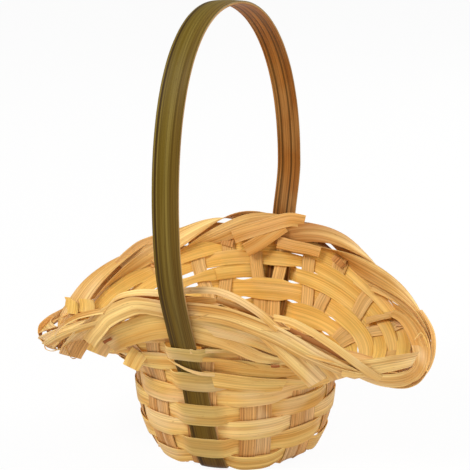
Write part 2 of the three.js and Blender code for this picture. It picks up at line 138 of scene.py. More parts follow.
def curve_point(corners, share):
    """Point and slope of a Bezier curve, by repeated mixing between its corners."""
    corners = [np.asarray(c, float) for c in corners]
    share = np.asarray(share, float)[..., None]
    while len(corners) > 2:
        corners = [mix(a, b, share) for a, b in zip(corners, corners[1:])]
    slope = corners[1] - corners[0]
    return mix(*corners, share), slope / np.linalg.norm(slope, axis=-1, keepdims=True)


NECK_POINT = np.array([NECK, POT_HEIGHT])
UPPER_BELLY = (POT_BELLY + BELLY_FLARE, POT_HEIGHT * 2 / 3)
POT_CURVE = ((POT_FOOT, 0), (POT_BELLY, POT_HEIGHT / 3), UPPER_BELLY, NECK_POINT)
POT_TOP = curve_point(POT_CURVE, 1)[1]
PROFILE_STEPS = 41


def brim_profile(azimuth, share):
    """Point and slope at a share of the brim's length, from the neck to the rim."""
    across = math.sin(azimuth)
    wing = BENDS["right" if across > 0 else "left"]
    bend = mix(np.array(BENDS["side"]), np.array(wing), abs(across) ** SHARPNESS)
    edge = np.array(rim(azimuth))
    leaving = NECK_POINT + POT_TOP * BEND_SHARE * bend[1]
    corners = (NECK_POINT, leaving, mix(edge, NECK_POINT + bend, BEND_SHARE), edge)
    fine = np.linspace(0, 1, PROFILE_STEPS)
    line = curve_point(corners, fine)[0]
    length = np.concatenate([[0], np.cumsum(np.linalg.norm(np.diff(line, axis=0), axis=1))])
    return curve_point(corners, np.interp(share * length[-1], length, fine))


def profile(azimuth, even_reach):
    """Point and slope of the wall. The rows climb a little towards +X."""
    share = min(1, max(0, even_reach / RIM_REACH))
    climb = ROW_RISE * ease(even_reach / 2 / ROW_PITCH) * (1 - share)
    reach = even_reach + climb * math.sin(azimuth)
    if reach <= POT_HEIGHT:
        return curve_point(POT_CURVE, max(reach, 0) / POT_HEIGHT)
    point, slope = brim_profile(azimuth, min(1, (reach - POT_HEIGHT) / BRIM_DEPTH))
    return point + slope * max(0, reach - RIM_REACH), slope


def shell(azimuth, reach, depth):
    """Points in metres, from azimuths, reaches up the wall and depths out of its surface."""
    azimuth, reach, depth = np.broadcast_arrays(azimuth, reach, depth)
    places = []
    for a, r, d in zip(azimuth.ravel(), reach.ravel(), depth.ravel()):
        point, slope = profile(a, r)
        radius, height = point[0] + slope[1] * d, point[1] - slope[0] * d
        places.append((radius * math.sin(a), -radius * math.cos(a), height))
    return np.array(places) * MM


print("rim at the right wing", shell(math.pi / 2, RIM_REACH, 0)[0].round(4))

# %% [markdown]
# ## One strip of chip as a node tree
#
# Split bamboo chip is thin and flat, its edges are worn round, its width is never quite even,
# and it cups a little across the grain. A modelled plank for each strip would be some seventy
# meshes to shape. A node tree does it once: it takes a line of points that carry the strip's
# side, its outward lift and its half width, smooths the line, and wraps a section round it.

# %% Small helpers for node trees
def add(tree, kind, inputs=None, **settings):
    """A new node with its settings, and with each input linked or set."""
    node = tree.nodes.new(kind)
    for key, value in settings.items():
        setattr(node, key, value)
    for key, value in (inputs or {}).items():
        if isinstance(value, bpy.types.NodeSocket):
            tree.links.new(value, node.inputs[key])
        else:
            node.inputs[key].default_value = value
    return node


def calc(tree, operation, *values):
    node = add(tree, "ShaderNodeMath", dict(enumerate(values)), operation=operation)
    return node.outputs[0]


def vcalc(tree, operation, *values, scale=None):
    inputs = dict(enumerate(values))
    if scale is not None:
        inputs["Scale"] = scale
    return add(tree, "ShaderNodeVectorMath", inputs, operation=operation).outputs["Vector"]


def times(tree, *values):
    """All the values multiplied."""
    product = values[0]
    for value in values[1:]:
        product = calc(tree, "MULTIPLY", product, value)
    return product


print("helpers for nodes:", [helper.__name__ for helper in (add, calc, vcalc, times)])

# %% The tree's named inputs
STRIP_SIZES = {
    "Section Points": "Int", "Smoothness": "Int", "Cup": "Float", "Edge Wobble": "Float",
    "Groove Depth": "Float", "Grooves Per Metre": "Float", "Seed": "Float",
}


def empty_strip_tree():
    tree = bpy.data.node_groups.new("chip_strip", "GeometryNodeTree")
    tree.is_modifier = True
    sockets = tree.interface
    sockets.new_socket("Geometry", in_out="OUTPUT", socket_type="NodeSocketGeometry")
    sockets.new_socket("Geometry", in_out="INPUT", socket_type="NodeSocketGeometry")
    for name, kind in STRIP_SIZES.items():
        sockets.new_socket(name, in_out="INPUT", socket_type=f"NodeSocket{kind}")
    sockets.new_socket("Finish", in_out="INPUT", socket_type="NodeSocketMaterial")
    return tree


print("inputs of the strip's tree:", list(STRIP_SIZES))

# %% A ring swept along the strip's line
RING_RADIUS = 0.001  # any size does, because every point of the tube is placed anew


def captured(tree, geometry, kind, name, value):
    """Keeps a value of each point, so that it can still be read after the sweep."""
    node = tree.nodes.new("GeometryNodeCaptureAttribute")
    node.capture_items.new(kind, name)
    tree.links.new(geometry, node.inputs[0])
    tree.links.new(value, node.inputs[1])
    return node.outputs[0], node.outputs[1]


def swept_tube(tree, source):
    """The tube, the middle of the strip at each of its points, and the turn round the ring."""
    line = add(tree, "GeometryNodeMeshToCurve", {"Mesh": source["Geometry"]}).outputs[0]
    line = add(tree, "GeometryNodeCurveSplineType", {"Curve": line},
               spline_type="CATMULL_ROM").outputs[0]
    line = add(tree, "GeometryNodeSetSplineResolution",
               {"Geometry": line, "Resolution": source["Smoothness"]}).outputs[0]
    line = add(tree, "GeometryNodeResampleCurve", {"Curve": line}, mode="EVALUATED").outputs[0]
    here = tree.nodes.new("GeometryNodeInputPosition").outputs[0]
    line, core = captured(tree, line, "VECTOR", "Core", here)

    ring = add(tree, "GeometryNodeCurvePrimitiveCircle",
               {"Resolution": source["Section Points"], "Radius": RING_RADIUS}, mode="RADIUS")
    number = tree.nodes.new("GeometryNodeInputIndex").outputs[0]
    share = calc(tree, "DIVIDE", number, source["Section Points"])
    ring, turn = captured(tree, ring.outputs[0], "FLOAT", "Turn", share)
    tube = add(tree, "GeometryNodeCurveToMesh",
               {"Curve": line, "Profile Curve": ring, "Fill Caps": True}).outputs[0]
    return tube, core, turn


print("the ring's radius is", RING_RADIUS, "m until its points are placed")

# %% What makes a strip uneven
def named(tree, name, kind="FLOAT"):
    node = add(tree, "GeometryNodeInputNamedAttribute", {"Name": name}, data_type=kind)
    return node.outputs["Attribute"]


def ripple(tree, place, detail, depth):
    """Noise to both sides of zero, read at a place of three values."""
    where = add(tree, "ShaderNodeCombineXYZ", dict(zip("XYZ", place))).outputs[0]
    noise = add(tree, "ShaderNodeTexNoise", {"Vector": where, "Scale": 1.0, "Detail": detail})
    return times(tree, calc(tree, "SUBTRACT", noise.outputs["Fac"], 0.5), depth)


print("a strip's edges and faces read", ripple.__name__)

# %% The strip's tree
FACE_SHARPNESS = 4.0  # how suddenly the section turns from a flat face into an edge
EDGE_WAVES, EDGE_APART = 90.0, 7.0  # waves per metre, and how far apart the edges read the noise
GROOVE_DRIFT = 6.0  # how much the grooves change per metre along the strip


def strip_tree():
    tree = empty_strip_tree()
    source = tree.nodes.new("NodeGroupInput").outputs
    tube, core, turn = swept_tube(tree, source)
    angle = times(tree, turn, math.tau)
    across = calc(tree, "COSINE", angle)
    face = times(tree, calc(tree, "SINE", angle), FACE_SHARPNESS)
    face = calc(tree, "MINIMUM", 1.0, calc(tree, "MAXIMUM", -1.0, face))
    run, seed = named(tree, "run"), calc(tree, "ADD", named(tree, "seed"), source["Seed"])

    edge = times(tree, calc(tree, "SIGN", across), EDGE_APART)
    uneven = ripple(tree, (times(tree, run, EDGE_WAVES), edge, seed), 2.0, source["Edge Wobble"])
    width = times(tree, named(tree, "half_width"), calc(tree, "ADD", 1.0, uneven))
    reach = times(tree, across, width)

    groove = times(tree, reach, source["Grooves Per Metre"])
    side_seed = calc(tree, "ADD", seed, calc(tree, "SIGN", face))
    drift = times(tree, run, GROOVE_DRIFT)
    ridge = ripple(tree, (groove, drift, side_seed), 1.0, source["Groove Depth"])
    lift = times(tree, named(tree, "half_thick"), face)
    lift = calc(tree, "ADD", lift, times(tree, ridge, face))
    cup = calc(tree, "MULTIPLY", times(tree, across, across), times(tree, width, source["Cup"]))
    lift = calc(tree, "SUBTRACT", lift, cup)
    offset = vcalc(tree, "ADD",
                   vcalc(tree, "SCALE", named(tree, "side", "FLOAT_VECTOR"), scale=reach),
                   vcalc(tree, "SCALE", named(tree, "lift", "FLOAT_VECTOR"), scale=lift))
    placed = vcalc(tree, "ADD", core, offset)

    grain = add(tree, "ShaderNodeCombineXYZ", {"X": run, "Y": reach, "Z": seed}).outputs[0]
    for name, value, kind in (("grain", grain, "FLOAT_VECTOR"), ("face", face, "FLOAT")):
        tube = add(tree, "GeometryNodeStoreNamedAttribute",
                   {"Geometry": tube, "Name": name, "Value": value},
                   data_type=kind, domain="POINT").outputs[0]
    shaped = add(tree, "GeometryNodeSetPosition", {"Geometry": tube, "Position": placed}).outputs[0]
    smooth = add(tree, "GeometryNodeSetShadeSmooth",
                 {"Geometry": shaped, "Shade Smooth": True}).outputs[0]
    real = add(tree, "GeometryNodeRealizeInstances", {"Geometry": smooth}).outputs[0]
    dressed = add(tree, "GeometryNodeSetMaterial",
                  {"Geometry": real, "Material": source["Finish"]}).outputs[0]
    sink = tree.nodes.new("NodeGroupOutput")
    tree.links.new(dressed, sink.inputs[0])
    return tree


STRIP = strip_tree()
print("strip tree has", len(STRIP.nodes), "nodes")

# %% [markdown]
# ## From edges to a strip
#
# The basket's formulas say where a strip's two edges run. The tree wants a middle line with a
# side and a lift at each point. Both follow from the edges: the side points from one edge to the
# other, and the lift stands square to the side and to the way the strip runs.

# %% Stations along a strip
def unit(vectors):
    return vectors / np.maximum(np.linalg.norm(vectors, axis=-1, keepdims=True), 1e-12)


def strip(low, high, outward, seed, thick=CHIP, tone=0.0, guide=None):
    """A strip between two edges. Its lift is on the outward side at the guide's station, or at the
    middle one, and tone says how far its colour goes over to the finish's tint."""
    core = (low + high) / 2
    along = unit(np.gradient(core, axis=0))
    side = unit(high - low)
    lift = unit(np.cross(side, along))
    middle = len(core) // 2 if guide is None else guide
    if np.dot(lift[middle], outward) < 0:
        lift = -lift
    side = unit(np.cross(lift, along))
    run = np.concatenate([[0], np.cumsum(np.linalg.norm(np.diff(core, axis=0), axis=1))])
    count = len(core)
    return {
        "core": core, "side": side, "lift": lift, "run": run,
        "half_width": np.linalg.norm(high - low, axis=1) / 2,
        "half_thick": np.broadcast_to(np.asarray(thick, float), count) * MM / 2,
        "seed": np.full(count, float(seed)),
        "tone": np.broadcast_to(np.asarray(tone, float), count),
    }


print("a strip is", CHIP, "mm thick unless it says otherwise")

# %% The line that the tree reads
KINDS = {
    "side": "FLOAT_VECTOR", "lift": "FLOAT_VECTOR", "run": "FLOAT", "half_width": "FLOAT",
    "half_thick": "FLOAT", "seed": "FLOAT", "tone": "FLOAT",
}


def line_mesh(name, strips):
    """One mesh of all the strips' middle lines, with each station's values as attributes."""
    mesh = bpy.data.meshes.new(f"{name}_line")
    points = np.concatenate([s["core"] for s in strips])
    edges, start = [], 0
    for s in strips:
        edges += [(start + i, start + i + 1) for i in range(len(s["core"]) - 1)]
        start += len(s["core"])
    mesh.from_pydata(points.tolist(), edges, [])
    for key, kind in KINDS.items():
        layer = mesh.attributes.new(key, kind, "POINT")
        values = np.concatenate([s[key] for s in strips]).astype(np.float32).ravel()
        layer.data.foreach_set("vector" if kind == "FLOAT_VECTOR" else "value", values)
    return mesh


print("each station holds", list(KINDS))

# %% From strips to a piece of the basket
PLAIN_CHIP = {
    "Section Points": 30, "Smoothness": 2, "Cup": 0.02, "Edge Wobble": 0.12,
    "Groove Depth": 0.0001, "Grooves Per Metre": 900.0, "Seed": 0.0,
}


def face_out(mesh):
    """Turns a closed mesh right side out where its signed volume says that it is inside out."""
    mesh.calc_loop_triangles()
    places = np.array([v.co for v in mesh.vertices])
    corners = np.array([t.vertices for t in mesh.loop_triangles])
    a, b, c = (places[corners[:, k]] for k in range(3))
    if np.einsum("ij,ij->i", a, np.cross(b, c)).sum() < 0:
        mesh.flip_normals()


def lay(name, strips, finish, slot, node, **sizes):
    """Wraps the strips, bakes them to one mesh, and lets it stand for the CAD node."""
    line = bpy.data.objects.new(f"{name}_line", line_mesh(name, strips))
    bpy.context.scene.collection.objects.link(line)
    modifier = line.modifiers.new("strip", "NODES")
    modifier.node_group = STRIP
    sockets = {i.name: i.identifier for i in STRIP.interface.items_tree if i.in_out == "INPUT"}
    for key, value in {**PLAIN_CHIP, "Finish": finish, **sizes}.items():
        modifier[sockets[key]] = value
    graph = bpy.context.evaluated_depsgraph_get()
    baked = bpy.data.meshes.new_from_object(line.evaluated_get(graph))
    baked.name = name
    line.modifiers.clear()
    bpy.data.objects.remove(line)
    face_out(baked)
    piece = bpy.data.objects.new(name, baked)
    bpy.context.scene.collection.objects.link(piece)
    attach(piece, "root")
    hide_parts(node)
    print(name, len(baked.polygons), "faces")


print("settings of plain chip:", PLAIN_CHIP)

# %% [markdown]
# ## Finishes
#
# Pale chip is the inner wood of bamboo: straw yellow, with fine fibres that run along the strip.
# The stakes are coarser and pinker. The handle keeps the culm's skin: olive and smooth outside,
# red-brown with dark pores inside. A picture of bamboo would stretch and repeat, so each finish
# reads the strip's own `grain` attribute, which holds how far along and across a point lies.

# %% Colours and how they blend
def colour(red, green, blue):
    """A picked screen colour as the linear colour that a shader wants."""
    linear = []
    for value in (red / 255, green / 255, blue / 255):
        linear.append(value / 12.92 if value <= 0.04045 else ((value + 0.055) / 1.055) ** 2.4)
    return (*linear, 1.0)


def ramp(tree, value, low, high):
    """Share of the way from low to high, held between 0 and 1 and eased at both ends."""
    return add(tree, "ShaderNodeMapRange", {"Value": value, "From Min": low, "From Max": high},
               clamp=True, interpolation_type="SMOOTHSTEP").outputs[0]


def blend(tree, share, first, second, mode="MIX"):
    """The first colour, with a share of it given over to the second or multiplied by it."""
    node = add(tree, "ShaderNodeMix", data_type="RGBA", blend_type=mode)
    factor, first_colour, second_colour = 0, 6, 7
    for key, value in ((factor, share), (first_colour, first), (second_colour, second)):
        if isinstance(value, bpy.types.NodeSocket):
            tree.links.new(value, node.inputs[key])
        else:
            node.inputs[key].default_value = value
    return node.outputs[2]


print("a chip's light yellow in linear values:", [round(v, 3) for v in colour(240, 202, 124)])

# %% [markdown]
# ### Marks of the fibre
#
# All marks in split bamboo run along it: hair-fine fibres, darker veins, slow bands of colour,
# short flecks, and furrows where the knife followed the grain, whose darkening is painted shade.
# Painting each strip would take days. The same noise, stretched by different amounts along and
# across the grain, gives them all.

# %% Marks of the fibre
# Each mark's noise: waves per metre along and across the strip, detail, and where it starts.
NOISES = {
    "fibre": (30.0, 2600.0, 2.0, 0.0),
    "band": (7.0, 240.0, 2.0, 9.0),
    "patch": (26.0, 80.0, 2.0, 15.0),
    "cloud": (11.0, 24.0, 2.0, 50.0),
    "pale": (22.0, 60.0, 2.0, 60.0),
    "fleck": (260.0, 1900.0, 1.0, 21.0),
    "bend": (16.0, 420.0, 2.0, 30.0),
    "shade": (12.0, 1300.0, 3.0, 40.0),
}
# Where a mark starts to show in its noise, and where it shows in full.
SHOWN = {
    "band": (0.34, 0.66), "patch": (0.5, 0.72), "cloud": (0.42, 0.68), "pale": (0.48, 0.66),
    "fleck": (0.7, 0.76), "shade": (0.38, 0.62),
}
VEIN_ALONG, VEIN_DETAIL, VEIN_START, VEIN_SHOWN = 9.0, 2.0, 4.0, (0.58, 0.66)
FURROW_SHOWN = (0.05, 0.5)
SEED_SPREAD, NOISE_ROUGHNESS = 3.7, 0.6
FURROW_BEND = 1.1  # how far the furrows sway, in furrows


def streaks(tree, grain, along, across, detail, start):
    """Noise that is stretched along the strip's grain."""
    place = vcalc(tree, "MULTIPLY", grain, (along, across, SEED_SPREAD))
    place = vcalc(tree, "ADD", place, (start, start, 0))
    return add(tree, "ShaderNodeTexNoise", {
        "Vector": place, "Scale": 1.0, "Detail": detail, "Roughness": NOISE_ROUGHNESS,
    }).outputs["Fac"]


def fibre_marks(tree, grain, across, veins, groove_pitch):
    """How strongly each mark shows at a point of the strip."""
    noise = {name: streaks(tree, grain, *shape) for name, shape in NOISES.items()}
    marks = {name: ramp(tree, noise[name], *limits) for name, limits in SHOWN.items()}
    marks["fibre"], marks["slow"] = noise["fibre"], noise["band"]
    vein = streaks(tree, grain, VEIN_ALONG, veins, VEIN_DETAIL, VEIN_START)
    marks["vein"] = ramp(tree, vein, *VEIN_SHOWN)
    beat = calc(tree, "ADD", times(tree, across, 1 / MM / groove_pitch),
                times(tree, noise["bend"], FURROW_BEND))
    wave = calc(tree, "ABSOLUTE", calc(tree, "SINE", times(tree, beat, math.pi)))
    marks["furrow"] = calc(tree, "SUBTRACT", 1.0, ramp(tree, wave, *FURROW_SHOWN))
    return marks


print("marks of the fibre:", list(NOISES))

# %% The colour of bare fibre
def bare_fibre(tree, marks, light, dark, deep, pale, vein_depth, groove_depth):
    """Split bamboo before its faces, its tint, its painted edge highlight and its streaks: each
    mark laid over the one before.
    """
    body = blend(tree, marks["band"], dark, light)
    # The furrow layer darkens the furrows towards the deep colour, as painted shade in them.
    layers = (("patch", 0.5, dark), ("cloud", 0.45, dark), ("pale", 0.55, pale),
              ("vein", vein_depth, deep), ("furrow", groove_depth, deep), ("fleck", 0.45, deep))
    for mark, strength, paint in layers:
        body = blend(tree, times(tree, marks[mark], strength), body, paint)
    return body


print("marks laid on the fibre:", list(SHOWN))

# %% The culm's skin, and its dark pores
SKIN_BAND = (0.3, 0.7)
SKIN_SIDE, SIDE_SHARE = (-0.5 * MM, -4.5 * MM), 0.4  # one side of the skin goes over to the tint
SKIN_VEIN, SKIN_FLECK = 0.45, 0.5
PORE_CORE, PORE_FADE = 0.4, 1.0  # shares of a pore line's half width
PORE_FACE = (0.0, 0.6)


def skin_colour(tree, marks, across, skin, tint):
    skin_light, skin_dark = skin
    outer = blend(tree, ramp(tree, marks["slow"], *SKIN_BAND), skin_dark, skin_light)
    outer = blend(tree, times(tree, ramp(tree, across, *SKIN_SIDE), SIDE_SHARE), outer, tint)
    outer = blend(tree, times(tree, marks["vein"], SKIN_VEIN), outer, skin_dark)
    return blend(tree, times(tree, marks["fleck"], SKIN_FLECK), outer, tint)


def pore_line(tree, body, face, across, deep, line):
    """A dark line of pores, from the face that it is on, its place, half width and strength."""
    side, place, half, strength = line
    near = calc(tree, "ABSOLUTE", calc(tree, "SUBTRACT", across, place * MM))
    far = ramp(tree, near, half * PORE_CORE * MM, half * PORE_FADE * MM)
    shown = ramp(tree, times(tree, face, side), *PORE_FACE)
    share = times(tree, calc(tree, "SUBTRACT", 1.0, far), shown, strength)
    return blend(tree, share, body, deep)


print("a pore line fades from", PORE_CORE, "to", PORE_FADE, "of its half width")

# %% Painted highlight on the edges, slow shades and hair-fine fibres
# Painted highlight: where the section turns into the strip's edges, the colour goes over to a pale
# one, as if the edges caught the light.
EDGE_HIGHLIGHT, EDGE_HIGHLIGHT_SHARE, EDGE_HIGHLIGHT_FROM = (0.85, 0.6, 0.3, 1), 0.25, (0.3, 0.98)
DARKEST_SHADE, PALEST_SHADE = (0.74, 0.7, 0.62, 1), (1.16, 1.17, 1.18, 1)
DARKEST_FIBRE, PALEST_FIBRE, FIBRE_SHARE = (0.7, 0.68, 0.64, 1), (1.3, 1.3, 1.3, 1), 0.3


def highlit(tree, body, marks, face, streak):
    # painted highlight on the edges
    edge = calc(tree, "SUBTRACT", 1.0, ramp(tree, calc(tree, "ABSOLUTE", face), *EDGE_HIGHLIGHT_FROM))
    body = blend(tree, times(tree, edge, EDGE_HIGHLIGHT_SHARE), body, EDGE_HIGHLIGHT)
    shade = blend(tree, marks["shade"], DARKEST_SHADE, PALEST_SHADE)
    body = blend(tree, streak, body, blend(tree, 1.0, body, shade, "MULTIPLY"))
    hair = blend(tree, marks["fibre"], DARKEST_FIBRE, PALEST_FIBRE)
    return blend(tree, FIBRE_SHARE, body, blend(tree, 1.0, body, hair, "MULTIPLY"))


print("worn edges take a share of", EDGE_HIGHLIGHT_SHARE)

# %% The relief of the fibres
RELIEF_STRENGTH = 0.7
FIBRE_HEIGHT, BAND_HEIGHT, VEIN_SINK = 0.5, 2.0, 0.4


def fibre_relief(tree, marks, groove_depth, bump):
    raised = calc(tree, "ADD", times(tree, marks["fibre"], FIBRE_HEIGHT),
                  times(tree, marks["slow"], BAND_HEIGHT))
    sunk = calc(tree, "ADD", times(tree, marks["furrow"], groove_depth),
                times(tree, marks["vein"], VEIN_SINK))
    return add(tree, "ShaderNodeBump", {
        "Height": calc(tree, "SUBTRACT", raised, sunk), "Strength": RELIEF_STRENGTH,
        "Distance": bump,
    }).outputs[0]


print("strength of the relief:", RELIEF_STRENGTH)

# %% A finish of fibres
# Painted light and shade: a strip's inside face goes over to the finish's inner colour, lighter or
# darker as the basket's inside is lit.
INSIDE_FACE, INSIDE_SHARE, OUTSIDE_FACE = (-0.3, 0.3), 0.5, (-0.2, 0.4)
STRAW = (0.85, 0.6, 0.33, 1)
GLOW_COLOUR, GLOW_DEPTH = (1.0, 0.75, 0.4), 0.0012


def fibre_finish(name, light, dark, deep, tint, roughness=0.5, veins=900.0, vein_depth=0.5,
                 groove_pitch=1.3, groove_depth=0.3, bump=0.00015, inner=None, skin=None, lines=(),
                 gloss=0.3, glow=0.0, streak=0.7, pale=STRAW):
    """A finish that reads the strip's grain and face, and goes over to its tint with the tone."""
    finish = bpy.data.materials.new(name)
    finish.use_nodes = True
    tree = finish.node_tree
    tree.nodes.clear()
    grain = add(tree, "ShaderNodeAttribute", attribute_name="grain").outputs["Vector"]
    tone = add(tree, "ShaderNodeAttribute", attribute_name="tone").outputs["Fac"]
    face = add(tree, "ShaderNodeAttribute", attribute_name="face").outputs["Fac"]
    across = add(tree, "ShaderNodeSeparateXYZ", {0: grain}).outputs[1]
    marks = fibre_marks(tree, grain, across, veins, groove_pitch)

    body = bare_fibre(tree, marks, light, dark, deep, pale, vein_depth, groove_depth)
    # painted light and shade of the basket's inside, on each strip's inside face
    if inner:
        inside = calc(tree, "SUBTRACT", 1.0, ramp(tree, face, *INSIDE_FACE))
        body = blend(tree, times(tree, inside, INSIDE_SHARE), body, inner)
    if skin:
        outer = skin_colour(tree, marks, across, skin, tint)
        body = blend(tree, ramp(tree, face, *OUTSIDE_FACE), body, outer)
    body = blend(tree, tone, body, tint)
    for line in lines:
        body = pore_line(tree, body, face, across, deep, line)

    shader = add(tree, "ShaderNodeBsdfPrincipled", {
        "Base Color": highlit(tree, body, marks, face, streak), "Roughness": roughness,
        "Normal": fibre_relief(tree, marks, groove_depth, bump), "Specular IOR Level": gloss,
        "Subsurface Weight": glow, "Subsurface Radius": GLOW_COLOUR, "Subsurface Scale": GLOW_DEPTH,
    })
    output = tree.nodes.new("ShaderNodeOutputMaterial")
    tree.links.new(shader.outputs[0], output.inputs["Surface"])
    return finish


print("light goes", GLOW_DEPTH, "m into the chip where it glows")

# %% Three finishes of chip
CHIP_FINISH = fibre_finish(
    "pale_chip", light=colour(240, 202, 124), dark=colour(212, 158, 80), deep=colour(144, 86, 22),
    tint=colour(156, 138, 84), inner=colour(238, 192, 98), roughness=0.5, veins=1000.0,
    vein_depth=0.22, groove_depth=0.08, streak=0.5, gloss=0.1, glow=0.2)
# The border's tint, a dark red-brown, is painted shade: the back of the border and the dark strips
# for hollows go over to it.
BORDER_FINISH = fibre_finish(
    "border_chip", light=colour(251, 215, 141), dark=colour(204, 148, 74), deep=colour(146, 82, 22),
    tint=colour(154, 84, 36), inner=colour(220, 163, 90), roughness=0.5, veins=800.0,
    vein_depth=0.3, groove_pitch=1.25, groove_depth=0.24, streak=0.5, gloss=0.12, glow=0.12)
STAKE_FINISH = fibre_finish(
    "stake_chip", light=colour(230, 178, 112), dark=colour(194, 136, 74), deep=colour(126, 68, 24),
    tint=colour(148, 128, 74), inner=colour(240, 198, 122), roughness=0.58, veins=700.0,
    vein_depth=0.4, groove_pitch=1.3, groove_depth=0.45, bump=0.00025, gloss=0.12, glow=0.1)
print("finishes made:", [f.name for f in (CHIP_FINISH, BORDER_FINISH, STAKE_FINISH)])

# %% The handle's finish
# Each pore line: the face it is on, its place across and half width in millimetres, its strength.
PORE_LINES = ((1, 4.6, 0.8, 0.9), (1, 3.2, 0.4, 0.35), (-1, 3.5, 0.7, 0.7), (-1, -1.5, 0.7, 0.7),
              (-1, -3.6, 0.35, 0.3))
HANDLE_FINISH = fibre_finish(
    "handle_bamboo", light=colour(180, 120, 54), dark=colour(146, 88, 34), deep=colour(58, 38, 6),
    tint=colour(90, 58, 16), skin=(colour(130, 112, 52), colour(94, 75, 12)),
    pale=colour(178, 132, 76), lines=PORE_LINES, roughness=0.5, veins=800.0, vein_depth=0.5,
    groove_pitch=2.1, groove_depth=0.2, streak=0.9, gloss=0.1)
print("finish made:", HANDLE_FINISH.name)

# %% [markdown]
# ## Strips laid one by one
#
# Split chip is never tidy. Ends stick out under the wings, slivers lift from the weavers, and a
# fold or a fibre stands off the border. A particle system could scatter them, but these few are
# what the eye knows this basket by. So each is one more strip, laid through a few stops of
# degrees, reach and depth that were picked on the photograph. Degrees run from the front towards
# +X, and depth is positive on the underside of the brim.

# %% A stray strip
STEPS_PER_STOP, SMOOTHINGS = 6, 4


def stray(width, stops, roll=0.0, tone=0.0, seed=0.0, thick=CHIP, upright=False):
    """A strip through the stops, flat to the wall, or square to it, unless it is rolled. It has a
    width at its start and one at its end."""
    steps = STEPS_PER_STOP * (len(stops) - 1)
    share, even = np.linspace(0, 1, steps + 1), np.linspace(0, 1, len(stops))
    paths = []
    for values in np.array(stops, float).T:
        line = np.interp(share, even, values)
        for _ in range(SMOOTHINGS):
            line[1:-1] = (line[:-2] + 2 * line[1:-1] + line[2:]) / 4
        paths.append(line)
    azimuth, reach, depth = np.radians(paths[0]), paths[1], paths[2]
    core = shell(azimuth, reach, depth)
    along = unit(np.gradient(core, axis=0))
    lift = unit(shell(azimuth, reach + upright, depth + 1 - upright) - core)
    side = unit(np.cross(along, lift))
    lift = np.cross(side, along)
    turned = side * math.cos(math.radians(roll)) + lift * math.sin(math.radians(roll))
    half = turned * mix(width[0], width[1], share)[:, None] * MM / 2
    outward = np.cross(turned[steps // 2], along[steps // 2])
    return strip(core - half, core + half, outward, seed, thick=thick, tone=tone)


STRAYS = {}
FIBRE, KNOT = 0.3, 0.8  # thickness of a loose fibre and of a knot
trial = stray((8, 8), ((0, 50, 1), (20, 50, 1)))
print("a trial strip is", round(trial["run"][-1] / MM, 1), "mm long")

# %% Strays of the left wing's border
# The first is the broad grooved strand. Two thin edges arch over it. Then come a knot, a dark
# strip of painted shade for the hollow under an arch, a rolled strand, and two ends that curl
# round the wing's tip.
STRAYS["border_strand_1"] = [
    stray((9.5, 8.5), (
        (313, 81, 5), (318, 84, 5.6), (322, 86, 5.8), (326, 89, 5.8), (332, 90, 5.6),
        (338, 91, 5.4), (348, 88, 4.8), (356, 86, 4.4)), seed=1),
    stray((2.8, 3.6), (
        (325, 91.5, 4), (327, 94, 3.4), (331, 96.5, 3), (340, 96, 3), (350, 94.5, 2.6),
        (358, 93, 2)), roll=60, seed=2),
    stray((2.6, 3), (
        (304, 92, 4), (308, 95, 4), (312, 96, 4), (316, 96, 4), (320, 94.5, 4),
        (325, 92.5, 4)), roll=60, seed=34),
    stray((1.6, 1.2), ((320, 76.5, 6), (322, 77, 6.3), (324, 77, 6)), tone=1, thick=KNOT, seed=43),
    # A dark strip of painted shade, for the hollow under an arch
    stray((4, 5), ((327, 92, 2.4), (332, 92.5, 2.2), (338, 91.5, 2.2), (347, 90, 2)),
          tone=0.45, seed=35),
    stray((4.5, 3), ((298, 91, 5), (306, 92, 5.4), (315, 90, 5.4), (324, 87, 5)), seed=3),
    stray((3.4, 3), (
        (270, 88, -4), (276, 91, -4), (283, 92.5, -3), (289, 92, 0), (293, 90, 4),
        (298, 86, 5)), roll=40, seed=21),
    stray((2, 2), ((272, 85, -5), (280, 88, -5), (288, 88, -3), (293, 87, 1), (296, 85, 4)),
          roll=-20, seed=22),
]
print("strays of border_strand_1:", len(STRAYS["border_strand_1"]))

# %% Strays of the right wing's border and of the front
# An end and three strands loop round the right wing's tip. The broad front strand lies over a
# hanging chip. A fold, a knot and two chips that fan out under the wing follow.
STRAYS["border_strand_2"] = [
    stray((8.5, 8), (
        (54, 86, 4), (58, 90, 3), (62, 93, 0), (67, 94, -4), (73, 94, -7), (78, 93, -8)),
        roll=60, tone=0.1, seed=4),
    stray((5.5, 4.5), (
        (114, 78, -4.5), (110, 81, -5), (103, 83, -5), (97, 85, -4.4), (91, 88.5, -2),
        (86, 91, 1)), seed=5),
    stray((3.5, 3), ((128, 81, -3), (118, 85, -4), (110, 87, -4), (102, 88, -3), (94, 88, 0)),
          roll=30, seed=6),
    stray((2.6, 2.4), ((112, 92, -2), (105, 93.5, -1), (98, 92.5, 2), (92, 91, 4), (86, 88, 5)),
          roll=40, seed=23),
    stray((9, 9.5), (
        (-8, 87, 4.2), (4, 88, 5), (16, 88, 5.2), (26, 87, 5.2), (36, 87, 5.2), (44, 85.5, 5.4),
        (52, 86, 5.2), (60, 85, 4.6)), seed=27),
    stray((10.5, 3.5), (
        (-8, 76, 2.6), (4, 75, 3.2), (18, 72, 3.6), (29, 67.5, 3.6), (37, 68.5, 3.2),
        (43, 71, 2.4)), seed=28),
    stray((6, 4.5), (
        (126, 81, -4), (120, 84, -4.6), (114, 87.5, -4), (108, 90, -1.5), (103, 91, 1)),
        seed=40),
    stray((1.4, 1.2), ((34, 65, 4.6), (35.5, 66, 5), (37, 67, 4.8)), tone=1, thick=KNOT, seed=42),
    stray((12, 14), ((31, 88, 2.6), (36, 84, 3.4), (42, 79, 4.4), (48, 73, 4.8), (54, 65.5, 4.6)),
          roll=12, seed=29),
    stray((9, 11), ((44, 88, 3), (50, 85, 4), (55, 79, 4.2), (59, 72, 3.6)), seed=33),
]
print("strays of border_strand_2:", len(STRAYS["border_strand_2"]))
